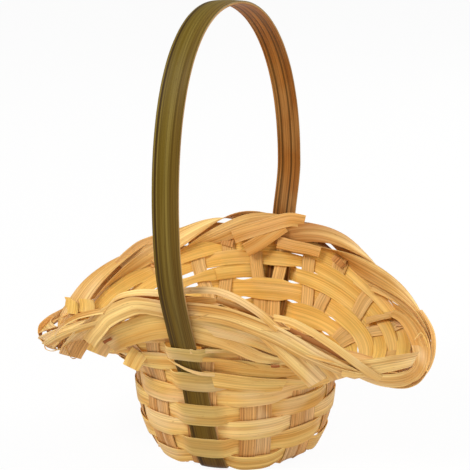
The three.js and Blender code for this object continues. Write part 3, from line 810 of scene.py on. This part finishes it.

# %% Strays of the back and of the front's edge
# Two ends are folded down at the back and one at the back left, and a broad strand crosses them.
# At the front two thin edges arch over the border, each with a dark strip of painted shade for the
# hollow under it.
STRAYS["border_strand_3"] = [
    stray((8, 7.5), ((170, 88, -5), (178, 83, -5.4), (186, 78.5, -5), (193, 75.5, -3.6)), seed=7),
    stray((6.5, 5.5), ((174, 80, -4), (163, 79, -4.6), (150, 80, -4)), seed=8),
    stray((6, 7), (
        (245, 88, -3.5), (241, 90, -3.6), (237, 91.5, -3.6), (232, 90.5, -3.4), (226, 89, -3)),
        seed=38),
    stray((8, 7), (
        (200, 82, -4.6), (188, 85, -5.4), (177, 88, -5.6), (167, 91, -5), (160, 91, -3.5)),
        seed=24),
    stray((3, 3.4), (
        (-4, 95, 0), (5, 97, 1), (12, 98, 1.6), (20, 97, 2.4), (28, 94.5, 3.6), (34, 91, 4.8)),
        roll=40, seed=25),
    stray((3, 3.6), (
        (33, 94, 1.5), (38, 97, 1.8), (44, 97.5, 2.2), (50, 96.5, 2.8), (57, 93.5, 3.6),
        (64, 90, 4)), roll=40, seed=26),
    # Two dark strips of painted shade, for the hollows under the arches
    stray((3, 4), ((12, 94, 2.2), (20, 92.5, 2.2), (28, 92, 2.2), (33, 92, 2)), tone=0.5, seed=30),
    stray((2.4, 4), ((38, 92.5, 2.4), (44, 92.5, 2.4), (50, 93, 2.2), (56, 91.5, 2.2)),
          tone=0.75, seed=31),
]
print("strays of border_strand_3:", len(STRAYS["border_strand_3"]))

# %% Strays of the splints and the weavers
# A chip slants across the right inside, and square ends stand out under the left wing.
STRAYS["splint_side_to_side_middle"] = [
    stray((7, 7), ((119, 64, -1.5), (117, 72, -1.7), (115, 79, -1.8), (113, 85, -2.2)), seed=41),
    stray((12, 11), ((307, 82, 1), (305, 81, 5), (303, 80, 8.5)), roll=90, upright=True, seed=11),
]
STRAYS["weaver_09"] = [
    stray((10.5, 10.5), ((316, 75, 1), (315, 74, 4), (314, 73, 7.5)),
          roll=90, upright=True, seed=12),
    stray((9, 8), ((328, 62, 1), (327, 60, 4), (326, 57, 7.5)), roll=60, upright=True, seed=13),
    stray((11, 14), ((317, 73, 3), (324, 75, 3.6), (332, 76, 3.8), (342, 78, 3.6), (352, 79, 3)),
          seed=36),
    stray((10, 9), ((-8, 80, 2.4), (4, 80.5, 3), (16, 79.5, 3.6), (26, 79, 3.8), (36, 78, 3.6)),
          seed=37),
]
# Slivers that lift from the two weavers below the brim, beside the handle's front leg
STRAYS["weaver_08"] = [
    stray((2.4, 0.5), (
        (359, 66.5, 4.8), (370, 66, 1.6), (382, 67, 1.4), (392, 64.5, 1.3), (400, 63, 1.1)),
        seed=14),
    stray((0.5, 2.6), ((30, 58, 1), (22, 60, 1.5), (12, 61, 1.7), (4, 62, 3.6)), seed=15),
]
STRAYS["weaver_07"] = [
    stray((8, 8.5), ((2, 50, 1.2), (12, 49.5, 1.8), (22, 48, 1.9), (34, 47, 2), (44, 46, 1.6)),
          seed=32),
    stray((0.6, 2.2), (
        (344, 59, 1.4), (350, 57.5, 3), (356, 55.5, 3.8), (362, 54, 3.8), (369, 52.5, 1.6)),
        seed=16),
]
# Two more ends at the left wing, and four loose fibres
STRAYS["weaver_10"] = [
    stray((8, 8), ((262, 83, -5), (264, 80, -5.2), (268, 77, -5)), seed=9),
    stray((7, 7.5), ((264, 91, -4), (265, 88.5, -4.6), (268, 86, -4.8), (271, 84, -4.4)), seed=39),
    stray((0.5, 0.4), ((294, 89, 3), (291, 92, 2), (287, 92, -1), (282, 90, -4)),
          thick=FIBRE, seed=17),
    stray((0.5, 0.4), ((304, 86, 7), (300, 88, 8), (296, 90, 6.5), (292, 90, 2), (294, 88, -1)),
          thick=FIBRE, seed=18),
    stray((0.5, 0.3), ((306, 88, 5), (304, 82, 8), (302, 78, 9), (301, 76, 8)),
          thick=FIBRE, seed=19),
    stray((0.6, 0.4), ((88, 87, 4), (93, 91, 1), (97, 91, -4), (101, 88, -7), (98, 84, -6)),
          thick=FIBRE, seed=20),
]
print("strays for", list(STRAYS))

# %% [markdown]
# ## Weavers
#
# A weaver goes outside one stake and inside the next, and the row above does the opposite. In
# the formulas that is a cosine of the azimuth, a little squared so that the chip lies flat over
# a stake and turns beside it. Even rows also pass over the handle's two legs, where they stand
# out further, and each weaver's two ends lap over a little more than one stake. A weaver could be
# drawn by hand as a curve, but ten of them in step with twelve stakes come truer from one rule.

# %% Sizes of the rows
FIRST_ROW, EVEN_ROWS = 5.3, 7  # reach of the lowest row, and how many rows are evenly spaced
UPPER_ROWS, UPPER_WIDTHS = (0.46, 0.59, 0.722), (7.2, 6.8, 7.8)  # shares of the brim, and widths
ROWS = EVEN_ROWS + len(UPPER_ROWS)
SWING = 0.9  # how far a weaver goes to each side of the stakes' middle
SQUARED = 0.5  # how flat it lies over a stake
ROW_OVERLAP, WIDE_SHARE, FIRST_WIDTH = 0.05, 0.2, 0.84
LAP_ANGLE, LAP_STAKES = math.radians(36), (2, 4, 8, 3, 9, 4, 10, 8, 2, 10)
BACK_RISE, SCALLOP = 2.0, 0.9  # upper rows rise at the back, and the lowest row waves
print("rows:", ROWS)

# %% Sizes of the handle's legs, which the even rows pass over
HANDLE_WIDTH, HANDLE_THICK, FOOT_THICK = 12.7, 1.5, 1.0
LEG_LEAVES, LEG_DEPTH, LEG_POWER = 50.0, 6.9, 1.05  # where and how far the legs leave the wall
LEG_FADE = 12.5  # a weaver is back at its own depth this far beside a leg's middle
HOOP_TURN, TURN_HEIGHT = math.radians(4.5), 55.0
HANDLE_SEAT = CHIP / 2 + GAP + HANDLE_THICK / 2
print("a leg's middle lies", round(HANDLE_SEAT, 2), "mm outside the stakes'")


# %% Where a row lies
def row_reach(row):
    if row <= EVEN_ROWS:
        return FIRST_ROW + (row - 1) * ROW_PITCH
    return POT_HEIGHT + UPPER_ROWS[row - EVEN_ROWS - 1] * BRIM_DEPTH


def is_tine_row(row):
    return row > EVEN_ROWS + 1


def row_wave(row, azimuth):
    """1 where the row is outside a stake, and -1 where it is inside one."""
    step = TINE_STEP if is_tine_row(row) else STAKE_STEP
    start = -TINE_STEP / 2 if is_tine_row(row) else 0
    wave = np.cos(np.pi * (azimuth - start) / step)
    return (1 if row % 2 == 0 else -1) * wave * (1 + SQUARED - SQUARED * wave * wave)


def leg_depth(reach):
    share = np.maximum(0, reach - LEG_LEAVES) / (RIM_REACH - LEG_LEAVES)
    return HANDLE_SEAT + LEG_DEPTH * share ** LEG_POWER


def hoop_turn(height):
    return mix(-HOOP_TURN, HOOP_TURN, np.clip(height / TURN_HEIGHT, 0, 1))


def row_depth(row, azimuth, reach):
    """Depth of a row, which stands out further where it passes over the handle's leg."""
    swing = SWING * row_wave(row, azimuth)
    if row % 2 or is_tine_row(row):
        return swing
    places = np.array([profile(a, r)[0] for a, r in zip(azimuth, reach)])
    offset = np.abs(np.sin(azimuth + hoop_turn(places[:, 1]))) * places[:, 0]
    flat = HANDLE_WIDTH / 2 + CHIP
    cover = 1 - ease((offset - flat) / (LEG_FADE - flat))
    return mix(swing, leg_depth(reach) + HANDLE_THICK / 2 + GAP + CHIP / 2, cover)


def row_width(row, wave):
    if row > EVEN_ROWS:
        return np.full(len(wave), UPPER_WIDTHS[row - EVEN_ROWS - 1])
    share = 1 + WIDE_SHARE * ease(np.abs(wave))
    return (ROW_PITCH + ROW_OVERLAP) * share * (FIRST_WIDTH if row == 1 else 1)


print("reaches of the rows:", [round(row_reach(row), 1) for row in range(1, ROWS + 1)])


# %% Unevenness of a weaver
# Where chip shrank and light comes through: row, degrees round the basket, millimetres lost.
SHRUNK = ((8, 221, 2.4), (9, 221, 1.6), (7, 222, 1.8), (6, 191, 1.2), (7, 192, 1.2), (8, 194, 0.6),
          (6, 164, 1.0), (7, 164, 1.0), (9, 160, 2.0), (8, 162, 0.8), (10, 158, 1.0), (7, 118, 1.2),
          (10, 122, 1.4), (9, 262, 1.5))
SHRUNK_SPREAD = 7  # degrees
DRIFT = 0.14  # how far a row wanders up and down
RISE_FROM, RISE_ROWS = 4, 3  # the back's rise starts above this row and is full so many rows on


def shrunk_width(row, azimuth, width):
    for place, degrees, loss in SHRUNK:
        apart = np.abs((np.degrees(azimuth) - degrees + 180) % 360 - 180)
        width = width - (place == row) * loss * np.exp(-(apart / SHRUNK_SPREAD) ** 2)
    return width


def row_drift(row, azimuth, wave):
    chance = np.random.default_rng(100 + row)
    drift = DRIFT * np.sin(azimuth * chance.integers(3, 6) + chance.uniform(0, 6))
    behind = np.clip(-np.cos(azimuth), 0, 1)
    drift = drift + BACK_RISE * behind * ease((row - RISE_FROM) / RISE_ROWS)
    return drift - (row == 1) * SCALLOP * wave


print("places where chip shrank:", len(SHRUNK))

# %% Lay the weavers
PER_STAKE, LAP_WIDTH = 16, 0.86
LEG_TONE, TONE_HALF, TONE_FADE = 0.45, 6, 8  # the green shows through the chip over a leg
WEAVER_GRAIN = 3.1  # from one weaver's grain to the next one's


def weaver(row):
    step = STAKE_STEP / PER_STAKE
    lap = round(LAP_ANGLE / step)
    index = np.arange(STAKES * PER_STAKE + lap + 1)
    azimuth = (LAP_STAKES[row - 1] - 1) * STAKE_STEP + index * step
    wave = row_wave(row, azimuth)
    under = 1 - ease((index - lap) / PER_STAKE)
    over = ease((index - STAKES * PER_STAKE + PER_STAKE) / PER_STAKE)
    shift = (over - under) * (CHIP + GAP) / 2
    width = row_width(row, wave) * mix(1, LAP_WIDTH, np.abs(over - under))
    width, drift = shrunk_width(row, azimuth, width), row_drift(row, azimuth, wave)
    edges = []
    for end in (-0.5, 0.5):
        reach = row_reach(row) + end * width + drift
        edges.append(shell(azimuth, reach, row_depth(row, azimuth, reach) + shift))
    middle = azimuth[len(index) // 2]
    outward = np.array([math.sin(middle), -math.cos(middle), 0])
    covers_leg = row % 2 == 0 and not is_tine_row(row)
    leg = np.abs(np.sin(azimuth)) * NECK
    tone = LEG_TONE * (1 - ease((leg - TONE_HALF) / TONE_FADE)) if covers_leg else 0.0
    return strip(edges[0], edges[1], outward, seed=row * WEAVER_GRAIN, tone=tone)


for row in range(1, ROWS + 1):
    node = f"weaver_{row:02d}"
    lay(f"chip_{node}", [weaver(row)] + STRAYS.get(node, []), CHIP_FINISH, "bamboo_chip", node)

# %% [markdown]
# ## Base splints, stakes and tines
#
# Six long splints cross in the base, three by three, and turn up as twelve stakes. Above the pot
# each stake is slit into two tines. One tine ends in the border. The other is folded inwards just
# under it and cut off a few millimetres below. A slit strip is made as two half strips that lie
# edge to edge as far as the slit and part above it. A boolean could cut the slit, but it would
# cut through the grain, and two strips keep their own worn edges.

# %% Places on a stake
STAKE_WIDTH, STAKE_SWING = 15.0, 0.12
HEEL_RADIUS, HEEL_BEND, HEEL_PULL = 38.4, 3.4, 0.55  # where the base turns up, and how roundly
TINE_WIDTH, TINE_SPREAD = 6.8, 74.0
TAIL_LENGTH, TAIL_DRIFT, TAIL_FOLD, TAIL_LEAN = 3.0, 1.0, 0.5, 0.2
BORDER_REACH, BORDER_SWAY, ENTRY_DROP = 86.4, 4.2, 1.6
TINE_TOP = BORDER_REACH - BORDER_SWAY - ENTRY_DROP
FOOT_LENGTH = 10.0  # of the handle, under the base
PITCH_ACROSS = HEEL_RADIUS * math.sin(STAKE_STEP)
LOW, HIGH = CHIP / 2, CHIP / 2 + CHIP + GAP
OVER_FOOT = FOOT_THICK + GAP + CHIP / 2
SLIT = (row_reach(EVEN_ROWS - 1) + row_reach(EVEN_ROWS)) / 2
WALL_START = HIGH + HEEL_BEND
print("slit at a reach of", round(SLIT, 2), "mm, tines end near", round(TINE_TOP, 2), "mm")


# %% How deep a stake lies
def carries_handle(stake):
    return stake % (STAKES // 2) == 0


def stake_side(row, stake, half):
    """1 where the stake is outside a row, -1 where it is inside, and 0 in the border."""
    if row > ROWS:
        return 0
    slot = 2 * stake + (half > 0) if is_tine_row(row) else stake
    return -1 if (slot + row) % 2 == 0 else 1


def stake_depth(reach, stake, half):
    """A little to the other side of the stakes' middle than each weaver that it passes."""
    row = 1
    while row < ROWS and row_reach(row + 1) < reach:
        row += 1
    low, high = row_reach(row), row_reach(row + 1) if row < ROWS else BORDER_REACH - BORDER_SWAY
    turn = (1 - math.cos(math.pi * min(1, max(0, (reach - low) / (high - low))))) / 2
    calm = ease((reach - LEG_LEAVES) / ROW_PITCH) if carries_handle(stake) else 1
    below, above = (stake_side(r, stake, half) for r in (row, row + 1))
    return STAKE_SWING * calm * mix(below, above, turn)


def tine_azimuth(stake, half, reach):
    start = STAKE_WIDTH / 4 / profile(stake * STAKE_STEP, SLIT)[0][0]
    parted = ease((reach - SLIT) / (TINE_SPREAD - SLIT))
    return stake * STAKE_STEP + half * mix(start, TINE_STEP / 2, parted)


print("the handle's stakes:", [stake for stake in range(STAKES) if carries_handle(stake)])

# %% How a splint runs in the base
def lattice_height(along, lane, runs_across, over_foot):
    """Height of a splint's middle over the ground, at a place along it."""
    half = STAKE_WIDTH / 2 + GAP
    layers = [HIGH if ((place + lane) % 2 == 0) == runs_across else LOW for place in (-1, 0, 1)]
    if abs(along) > PITCH_ACROSS + half:
        foot_edge = HEEL_RADIUS - FOOT_LENGTH - GAP
        share = (abs(along) - PITCH_ACROSS - half) / (foot_edge - PITCH_ACROSS - half)
        return mix(layers[2], OVER_FOOT if over_foot else layers[2], ease(share))
    stops = [c + e for c in (-PITCH_ACROSS, 0, PITCH_ACROSS) for e in (-half, half)]
    heights = [layers[0], layers[0], layers[1], layers[1], layers[2], layers[2]]
    index = max(1, min(len(stops) - 1, int(np.searchsorted(stops, along))))
    share = (along - stops[index - 1]) / (stops[index] - stops[index - 1])
    return mix(heights[index - 1], heights[index], ease(share))


print("splints in the base lie", round(LOW, 2), "or", round(HIGH, 2), "mm up")

# %% A tine from the slit up
ENDING_STEPS, FOLDING_STEPS, FOLD_STEPS, TAIL_STEPS = 18, 15, 7, 6


def tine_edges(stake, half, sign):
    """Edge pairs of a tine: half is its side of the slit, and sign the way the splint faces."""
    def edges(reach, depth, drift=0.0):
        width = mix(STAKE_WIDTH / 2, TINE_WIDTH, min(1, max(0, (reach - SLIT) / ROW_PITCH)))
        middle = tine_azimuth(stake, half, reach)
        radius = profile(middle, reach)[0][0]
        offsets = [(sign * e * width / 2 + drift) / radius for e in (-1, 1)]
        return [shell(middle + offset, reach, depth)[0] for offset in offsets]

    if half > 0:
        reaches = np.linspace(SLIT, TINE_TOP, ENDING_STEPS)[1:]
        rows = [edges(r, stake_depth(r, stake, half)) for r in reaches]
        return rows + [edges(BORDER_REACH - GAP - CHIP, 0)]
    reaches = np.linspace(SLIT, TINE_TOP, FOLDING_STEPS)[1:]
    rows = [edges(r, stake_depth(r, stake, half)) for r in reaches]
    fold, depth = TINE_TOP + CHIP + GAP, stake_depth(TINE_TOP, stake, half)
    for turn in np.linspace(0, math.pi, FOLD_STEPS):
        inwards = depth - TAIL_FOLD * (1 - math.cos(turn))
        rows.append(edges(fold + TAIL_FOLD * math.sin(turn), inwards))
    for share in np.linspace(0, 1, TAIL_STEPS)[1:]:
        lean = 2 * TAIL_FOLD + share * TAIL_LEAN
        rows.append(edges(fold - share * TAIL_LENGTH, depth - lean, share * TAIL_DRIFT))
    return rows


print("edge pairs of a folded tine:", len(tine_edges(0, -1, 1)))

# %% A half stake from the heel's bend to the tip
HEEL_STEPS, WALL_SKIP, WALL_STEP = 6, 2, 2.2


def end_rows(stake, sign, heel, outward, column):
    """Edge pairs from the heel's bend up the wall to the slit, then the tine."""
    azimuth = stake * STAKE_STEP
    spans = (0.0, column * STAKE_WIDTH / 2)

    def wall(reach, depth):
        radius = profile(azimuth, reach)[0][0]
        return [shell(azimuth + sign * a / radius, reach, depth)[0] for a in spans]

    depth = stake_depth(WALL_START, stake, 1)
    top_pair, next_pair = wall(WALL_START, depth), wall(WALL_START + HEEL_BEND, depth)
    rows, pull = [], HEEL_PULL * HEEL_BEND * MM
    for share in np.linspace(0, 1, HEEL_STEPS)[1:]:
        pair = []
        for start, end, after in zip(heel, top_pair, next_pair):
            corners = (start, start + outward * pull, end - unit(after - end) * pull, end)
            pair.append(curve_point(corners, share)[0])
        rows.append(pair)
    for reach in np.arange(WALL_START + WALL_SKIP, SLIT, WALL_STEP):
        rows.append(wall(reach, stake_depth(reach, stake, 1)))
    return rows + tine_edges(stake, int(column * sign), sign)


print("a stake's wall starts at a reach of", round(WALL_START, 2), "mm")

# %% A half splint from tip to tip
BASE_STEPS = 25


def half_splint(runs_across, lane, near, far, column):
    """Edge pairs of one half of a splint, through the base, with a stake at each end."""
    over_foot = carries_handle(far)
    heel_angle = abs(lane) * STAKE_STEP
    heel_reach, slant = HEEL_RADIUS * math.cos(heel_angle), lane * math.tan(heel_angle)

    def place(along, across):
        side = lane * PITCH_ACROSS + across
        height = lattice_height(along, lane, runs_across, over_foot)
        point = (along, side, height) if runs_across else (side, along, height)
        return np.array(point) * MM

    spans = (0.0, column * STAKE_WIDTH / 2)
    halves = []
    for end, stake in ((-1, near), (1, far)):
        heel = [place(end * (heel_reach - slant * a), a) for a in spans]
        outward = np.array([end, 0, 0]) if runs_across else np.array([0, end, 0])
        azimuth = stake * STAKE_STEP
        sign = int(round(np.sign(math.sin(azimuth) if runs_across else math.cos(azimuth))))
        halves.append([heel] + end_rows(stake, sign, heel, outward, column))
    limit = PITCH_ACROSS + STAKE_WIDTH / 2 + GAP
    middle = [[place(a, s) for s in spans] for a in np.linspace(-limit, limit, BASE_STEPS)]
    return halves[0][::-1] + middle + halves[1]


def all_one_way(rows):
    """The same edge pairs, each turned so that no pair is crossed over the one before."""
    ordered = []
    for pair in rows:
        if ordered and np.dot(pair[1] - pair[0], ordered[-1][1] - ordered[-1][0]) < 0:
            pair = pair[::-1]
        ordered.append(pair)
    return [np.array([p[k] for p in ordered]) for k in (0, 1)]


print("rows of a half splint:", len(half_splint(True, 0, 9, 3, 1)))

# %% Lay the splints
# Each splint: whether it runs side to side, its lane, and the stakes at its two ends.
SPLINTS = {
    "splint_front_to_back_left": (False, -1, 11, 7),
    "splint_front_to_back_middle": (False, 0, 0, 6),
    "splint_front_to_back_right": (False, 1, 1, 5),
    "splint_side_to_side_front": (True, -1, 10, 2),
    "splint_side_to_side_middle": (True, 0, 9, 3),
    "splint_side_to_side_back": (True, 1, 8, 4),
}
STAKE_CHIP = {"Groove Depth": 0.00022, "Grooves Per Metre": 800.0, "Edge Wobble": 0.05}
DOWN = np.array([0, 0, -1])
SPLINT_GRAIN, SPLINT_GRAIN_STEP, COLUMN_GRAIN = 50, 2.3, 0.3


def splint_strips(runs_across, lane, near, far, seed):
    strips = []
    for column in (-1, 1):
        low, high = all_one_way(half_splint(runs_across, lane, near, far, column))
        strips.append(strip(low, high, DOWN, seed + column * COLUMN_GRAIN))
    return strips


for number, (node, splint) in enumerate(SPLINTS.items()):
    seed = SPLINT_GRAIN + number * SPLINT_GRAIN_STEP
    strips = splint_strips(*splint, seed) + STRAYS.get(node, [])
    lay(f"chip_{node}", strips, STAKE_FINISH, "bamboo_stake", node, **STAKE_CHIP)

# %% [markdown]
# ## The border
#
# Three broad strands wrap the tine tips like a loose rope. Each one climbs outside, crosses the
# rim's edge with its flat leaning outwards, and drops inside again. A hand that plaits does not
# count degrees: the crossings lie closer at the front right than at the back, each strand is
# narrower where it bends over the edge, and no two turns are the same height. An array along a
# curve would give an even rope. A wave whose crossings are listed in degrees gives this one.

# %% Where the strands cross
CROSSINGS = (-52, -16, 11, 34, 54, 78, 106, 134, 166, 207, 234, 272)
EVEN_CROSSINGS, EVEN_START = 30.0, -412.5  # degrees
SOFTENING = range(-14, 15, 4)  # degrees over which the plaited spacing is averaged


def plaited(azimuth):
    """Moves evenly spaced azimuths to where the strands cross the edge in the photograph."""
    even = np.radians(np.arange(-1, 3 * len(CROSSINGS) - 1) * EVEN_CROSSINGS + EVEN_START)
    hand = np.radians([c + 360.0 * turn for turn in (-1, 0, 1) for c in CROSSINGS])
    return np.mean([np.interp(azimuth + math.radians(a), even, hand) for a in SOFTENING], axis=0)


print("crossings at", CROSSINGS)

# %% Lay the border
STRANDS, WAVES, PER_WAVE = 3, 4, 32  # a wave is one turn of a strand round the edge
BORDER_START = math.radians(22.5)
BORDER_RISE, WING_RISE, BORDER_WIDTH = 3.6, 4.6, 9.4
EDGE_NARROWING = 0.3  # of a strand's width, where it bends over the edge
# How uneven the plait is: a share of the size, waves round the basket, and a shift per strand
UNEVEN_RISE, UNEVEN_SWAY, UNEVEN_WIDTH = (0.16, 3, 2), (0.16, 4, 1.3), (0.1, 5, 2.2)
# Painted shade: round the back the strands go over to the border's dark tint.
BACK_SHADE, BACK_SHADE_AT, BACK_SHADE_SPREAD = 0.5, 162, 24  # the shaded back: share, degrees, degrees
OUTERMOST = 0.99  # the sine of a turn that has come to the outside
BORDER_GRAIN, BORDER_GRAIN_STEP = 80, 1.7


def uneven(size, unevenness, azimuth, index):
    """A size that waves a little round the basket, differently for each strand."""
    share, waves, shift = unevenness
    return size * (1 + share * np.sin(waves * azimuth + shift * index))


def border_strand(index):
    lap, count = PER_WAVE // 4, WAVES * PER_WAVE
    step = np.arange(count + lap + 1)
    turn = math.tau * (step / PER_WAVE - 0.25)
    azimuth = plaited(BORDER_START + index * math.tau / WAVES / STRANDS + turn / WAVES)
    under, over = 1 - ease((step - lap) / lap), ease((step - count + lap) / lap)
    rise = mix(BORDER_RISE, WING_RISE, np.abs(np.sin(azimuth)) ** SHARPNESS)
    rise = uneven(rise, UNEVEN_RISE, azimuth, index)
    sway = uneven(BORDER_SWAY, UNEVEN_SWAY, azimuth, index)
    width = BORDER_WIDTH * (1 - EDGE_NARROWING + EDGE_NARROWING * np.abs(np.sin(turn)))
    width = uneven(width, UNEVEN_WIDTH, azimuth, index)
    reach = BORDER_REACH - sway * np.cos(turn)
    depth = rise * np.sin(turn) + (under - over) * (CHIP + GAP) / 2
    lean = unit(np.stack([sway * np.sin(turn), rise * np.cos(turn)], 1))
    edges = [shell(azimuth, reach + e * width * lean[:, 0], depth + e * width * lean[:, 1])
             for e in (-0.5, 0.5)]
    first = np.flatnonzero(np.sin(turn) > OUTERMOST)[0]
    outward = np.array([math.sin(azimuth[first]), -math.cos(azimuth[first]), 0])
    back_shade = BACK_SHADE * np.exp(-((np.degrees(azimuth) % 360 - BACK_SHADE_AT) / BACK_SHADE_SPREAD) ** 2)
    seed = BORDER_GRAIN + index * BORDER_GRAIN_STEP
    return strip(edges[0], edges[1], outward, seed=seed, guide=first, tone=back_shade)


for index in range(STRANDS):
    node = f"border_strand_{index + 1}"
    lay(f"chip_{node}", [border_strand(index)] + STRAYS[node], BORDER_FINISH, "bamboo_chip",
        node, **{"Groove Depth": 0.00018})

# %% [markdown]
# ## The hoop handle
#
# The handle is one splint of bamboo that keeps its green skin outside. It goes down over a stake
# at the front and at the back, under the even weavers, and its shaved ends are bent in under the
# base. It could be half a torus, but a bent splint keeps straight legs and a fuller shoulder, so
# each side is a pair of Bezier curves. The chip's tree lays it, thicker and with its own cup.

# %% One side of the hoop
WIDEST, CROWN, CROWN_SHIFT = 127.0, 214.6, 8.0  # heights, and how far the crown lies to the front
# Each side of the hoop: its reach at the widest, and how full its shoulder and its crown are
FRONT_SIDE, BACK_SIDE = (72.2, 0.57, 0.7), (73.2, 0.59, 0.56)
FOOT_STEPS, LEG_STEPS, UPPER_STEPS, ARCH_STEPS = 5, 30, 9, 25


def hoop_side(azimuth, span, shoulder_share, crown_share):
    """Reaches and heights of the middle line, from a foot under the base up to the crown."""
    bend = OVER_FOOT + HEEL_BEND
    foot = HEEL_RADIUS - FOOT_LENGTH * (1 - np.linspace(0, 1, FOOT_STEPS))
    points = [(reach, FOOT_THICK / 2) for reach in foot]

    def wall_point(reach):
        point, slope = profile(azimuth, reach)
        depth = leg_depth(reach)
        return np.array([point[0] + slope[1] * depth, point[1] - slope[0] * depth])

    heel_end, after, foot_end = wall_point(bend), wall_point(bend + HEEL_BEND), np.array(points[-1])
    pull = HEEL_PULL * (HEEL_BEND + HANDLE_SEAT)
    heel = (foot_end, foot_end + [pull, 0], heel_end - unit(after - heel_end) * pull, heel_end)
    points += [curve_point(heel, s)[0] for s in np.linspace(0, 1, HEEL_STEPS)[1:]]
    points += [wall_point(r) for r in np.linspace(bend, RIM_REACH, LEG_STEPS)[1:-1]]
    top_point = wall_point(RIM_REACH)
    climb = unit(top_point - wall_point(RIM_REACH - ROW_PITCH)) * (WIDEST - top_point[1]) / 3
    widest = np.array([span, WIDEST])
    leg = (top_point, top_point + climb, widest - [0, np.linalg.norm(climb)], widest)
    points += [curve_point(leg, s)[0] for s in np.linspace(0, 1, UPPER_STEPS)]
    crown = CROWN_SHIFT * math.cos(azimuth)
    arch = (widest, widest + [0, shoulder_share * (CROWN - WIDEST)],
            np.array([mix(crown, span, crown_share), CROWN]), np.array([crown, CROWN]))
    points += [curve_point(arch, s)[0] for s in np.linspace(0, 1, ARCH_STEPS)[1:]]
    return np.array([np.asarray(p, float) for p in points])


print("points on the hoop's front side:", len(hoop_side(0, *FRONT_SIDE)))

# %% Lay the handle
HANDLE_SPLINT = {"Cup": 0.06, "Edge Wobble": 0.03, "Groove Depth": 0.00025,
                 "Grooves Per Metre": 420.0, "Section Points": 40}
# Painted shade on the handle's skin, stronger low down and under the base
LEG_SHADE, FOOT_SHADE, FOOT_SHADE_TOP = 0.5, 0.4, 12  # the skin is darker low down
UP, HANDLE_GRAIN = np.array([0, 0, 1]), 95.0


def handle_strip():
    front, back = hoop_side(0, *FRONT_SIDE), hoop_side(math.pi, *BACK_SIDE)
    front = np.stack([-front[:, 0], front[:, 1]], 1)
    line = np.concatenate([front, back[::-1][1:]])
    out, height = line.T
    turn = -hoop_turn(height)
    full = ease((height - OVER_FOOT) / (HEEL_BEND + HANDLE_SEAT))
    edges = []
    for x in (-HANDLE_WIDTH / 2, HANDLE_WIDTH / 2):
        edges.append(np.stack([x * np.cos(turn) - out * np.sin(turn),
                               x * np.sin(turn) + out * np.cos(turn), height], 1) * MM)
    # Painted shade: the skin goes over to the dark tint low on the legs, and more where the feet
    # lie under the base.
    low = LEG_SHADE - LEG_SHADE * ease(height / CROWN)
    low = low + FOOT_SHADE * (1 - ease(height / FOOT_SHADE_TOP))
    thick = mix(FOOT_THICK, HANDLE_THICK, full)
    return strip(edges[0], edges[1], UP, HANDLE_GRAIN, thick=thick, tone=low)


lay("bamboo_handle", [handle_strip()], HANDLE_FINISH, "bamboo_skin", "handle_hoop", **HANDLE_SPLINT)

# %% [markdown]
# ## Floor, light and background
#
# The photograph was taken on plain white in soft, even light. A white floor runs to far behind
# the basket. Stronger lamps could make it white, but they would bleach the chip too. So what the
# camera sees of the floor is lifted towards white with Light Path, and the lamps stay at a level
# at which a colour renders as it is written.

# %% Floor
FLOOR_SIZE, FLOOR_MIDDLE = 16, (0, 3, 0)
FLOOR_WHITE, FLOOR_LIFT = (0.8, 0.8, 0.8, 1), 0.95
WHITE = (1, 1, 1, 1)


def seen_as_white(tree, *rays):
    """1 for the kinds of ray that are to find plain white, and 0 for the others."""
    path = tree.nodes.new("ShaderNodeLightPath")
    seen = path.outputs[rays[0]]
    for ray in rays[1:]:
        seen = calc(tree, "MAXIMUM", seen, path.outputs[ray])
    return seen


def white_ground():
    finish = bpy.data.materials.new("white_ground")
    finish.use_nodes = True
    tree = finish.node_tree
    tree.nodes.clear()
    matt = add(tree, "ShaderNodeBsdfDiffuse", {"Color": FLOOR_WHITE})
    glow = add(tree, "ShaderNodeEmission", {"Color": WHITE, "Strength": 1.0})
    seen = seen_as_white(tree, "Is Camera Ray", "Is Glossy Ray", "Is Transmission Ray")
    both = add(tree, "ShaderNodeMixShader", {
        0: times(tree, seen, FLOOR_LIFT), 1: matt.outputs[0], 2: glow.outputs[0],
    })
    output = tree.nodes.new("ShaderNodeOutputMaterial")
    tree.links.new(both.outputs[0], output.inputs["Surface"])
    return finish


bpy.ops.mesh.primitive_plane_add(size=FLOOR_SIZE, location=FLOOR_MIDDLE)
floor = bpy.context.object
floor.name = "floor"
floor.data.materials.append(white_ground())
print("floor", tuple(floor.dimensions))

# %% Lamps
BASKET_MIDDLE = Vector((0, 0, 0.09))


def lamp(name, place, size, power, warmth=(1, 1, 1)):
    data = bpy.data.lights.new(name, "AREA")
    data.shape, data.size, data.energy, data.color = "DISK", size, power, warmth
    item = bpy.data.objects.new(name, data)
    item.location = place
    item.rotation_euler = (BASKET_MIDDLE - Vector(place)).to_track_quat("-Z", "Y").to_euler()
    bpy.context.scene.collection.objects.link(item)
    print(name, power, "watts")


lamp("key_light", (-0.9, -1.1, 1.5), 0.9, 28, (1, 0.98, 0.95))
lamp("fill_light", (1.3, -0.9, 0.7), 1.2, 6)
lamp("back_light", (0.9, 1.1, 1.1), 1.0, 20, (1, 0.97, 0.9))

# %% World
WORLD_LIGHT = 0.4

world = bpy.data.worlds.new("world")
bpy.context.scene.world = world
world.use_nodes = True
tree = world.node_tree
tree.nodes.clear()
seen = seen_as_white(tree, "Is Camera Ray", "Is Transmission Ray")
plain = add(tree, "ShaderNodeBackground", {"Color": WHITE, "Strength": WORLD_LIGHT})
white = add(tree, "ShaderNodeBackground", {"Color": WHITE, "Strength": 1.0})
both = add(tree, "ShaderNodeMixShader", {0: seen, 1: plain.outputs[0], 2: white.outputs[0]})
output = tree.nodes.new("ShaderNodeOutputWorld")
tree.links.new(both.outputs[0], output.inputs["Surface"])
bpy.context.scene.view_settings.view_transform = "Standard"
print("world light", WORLD_LIGHT)
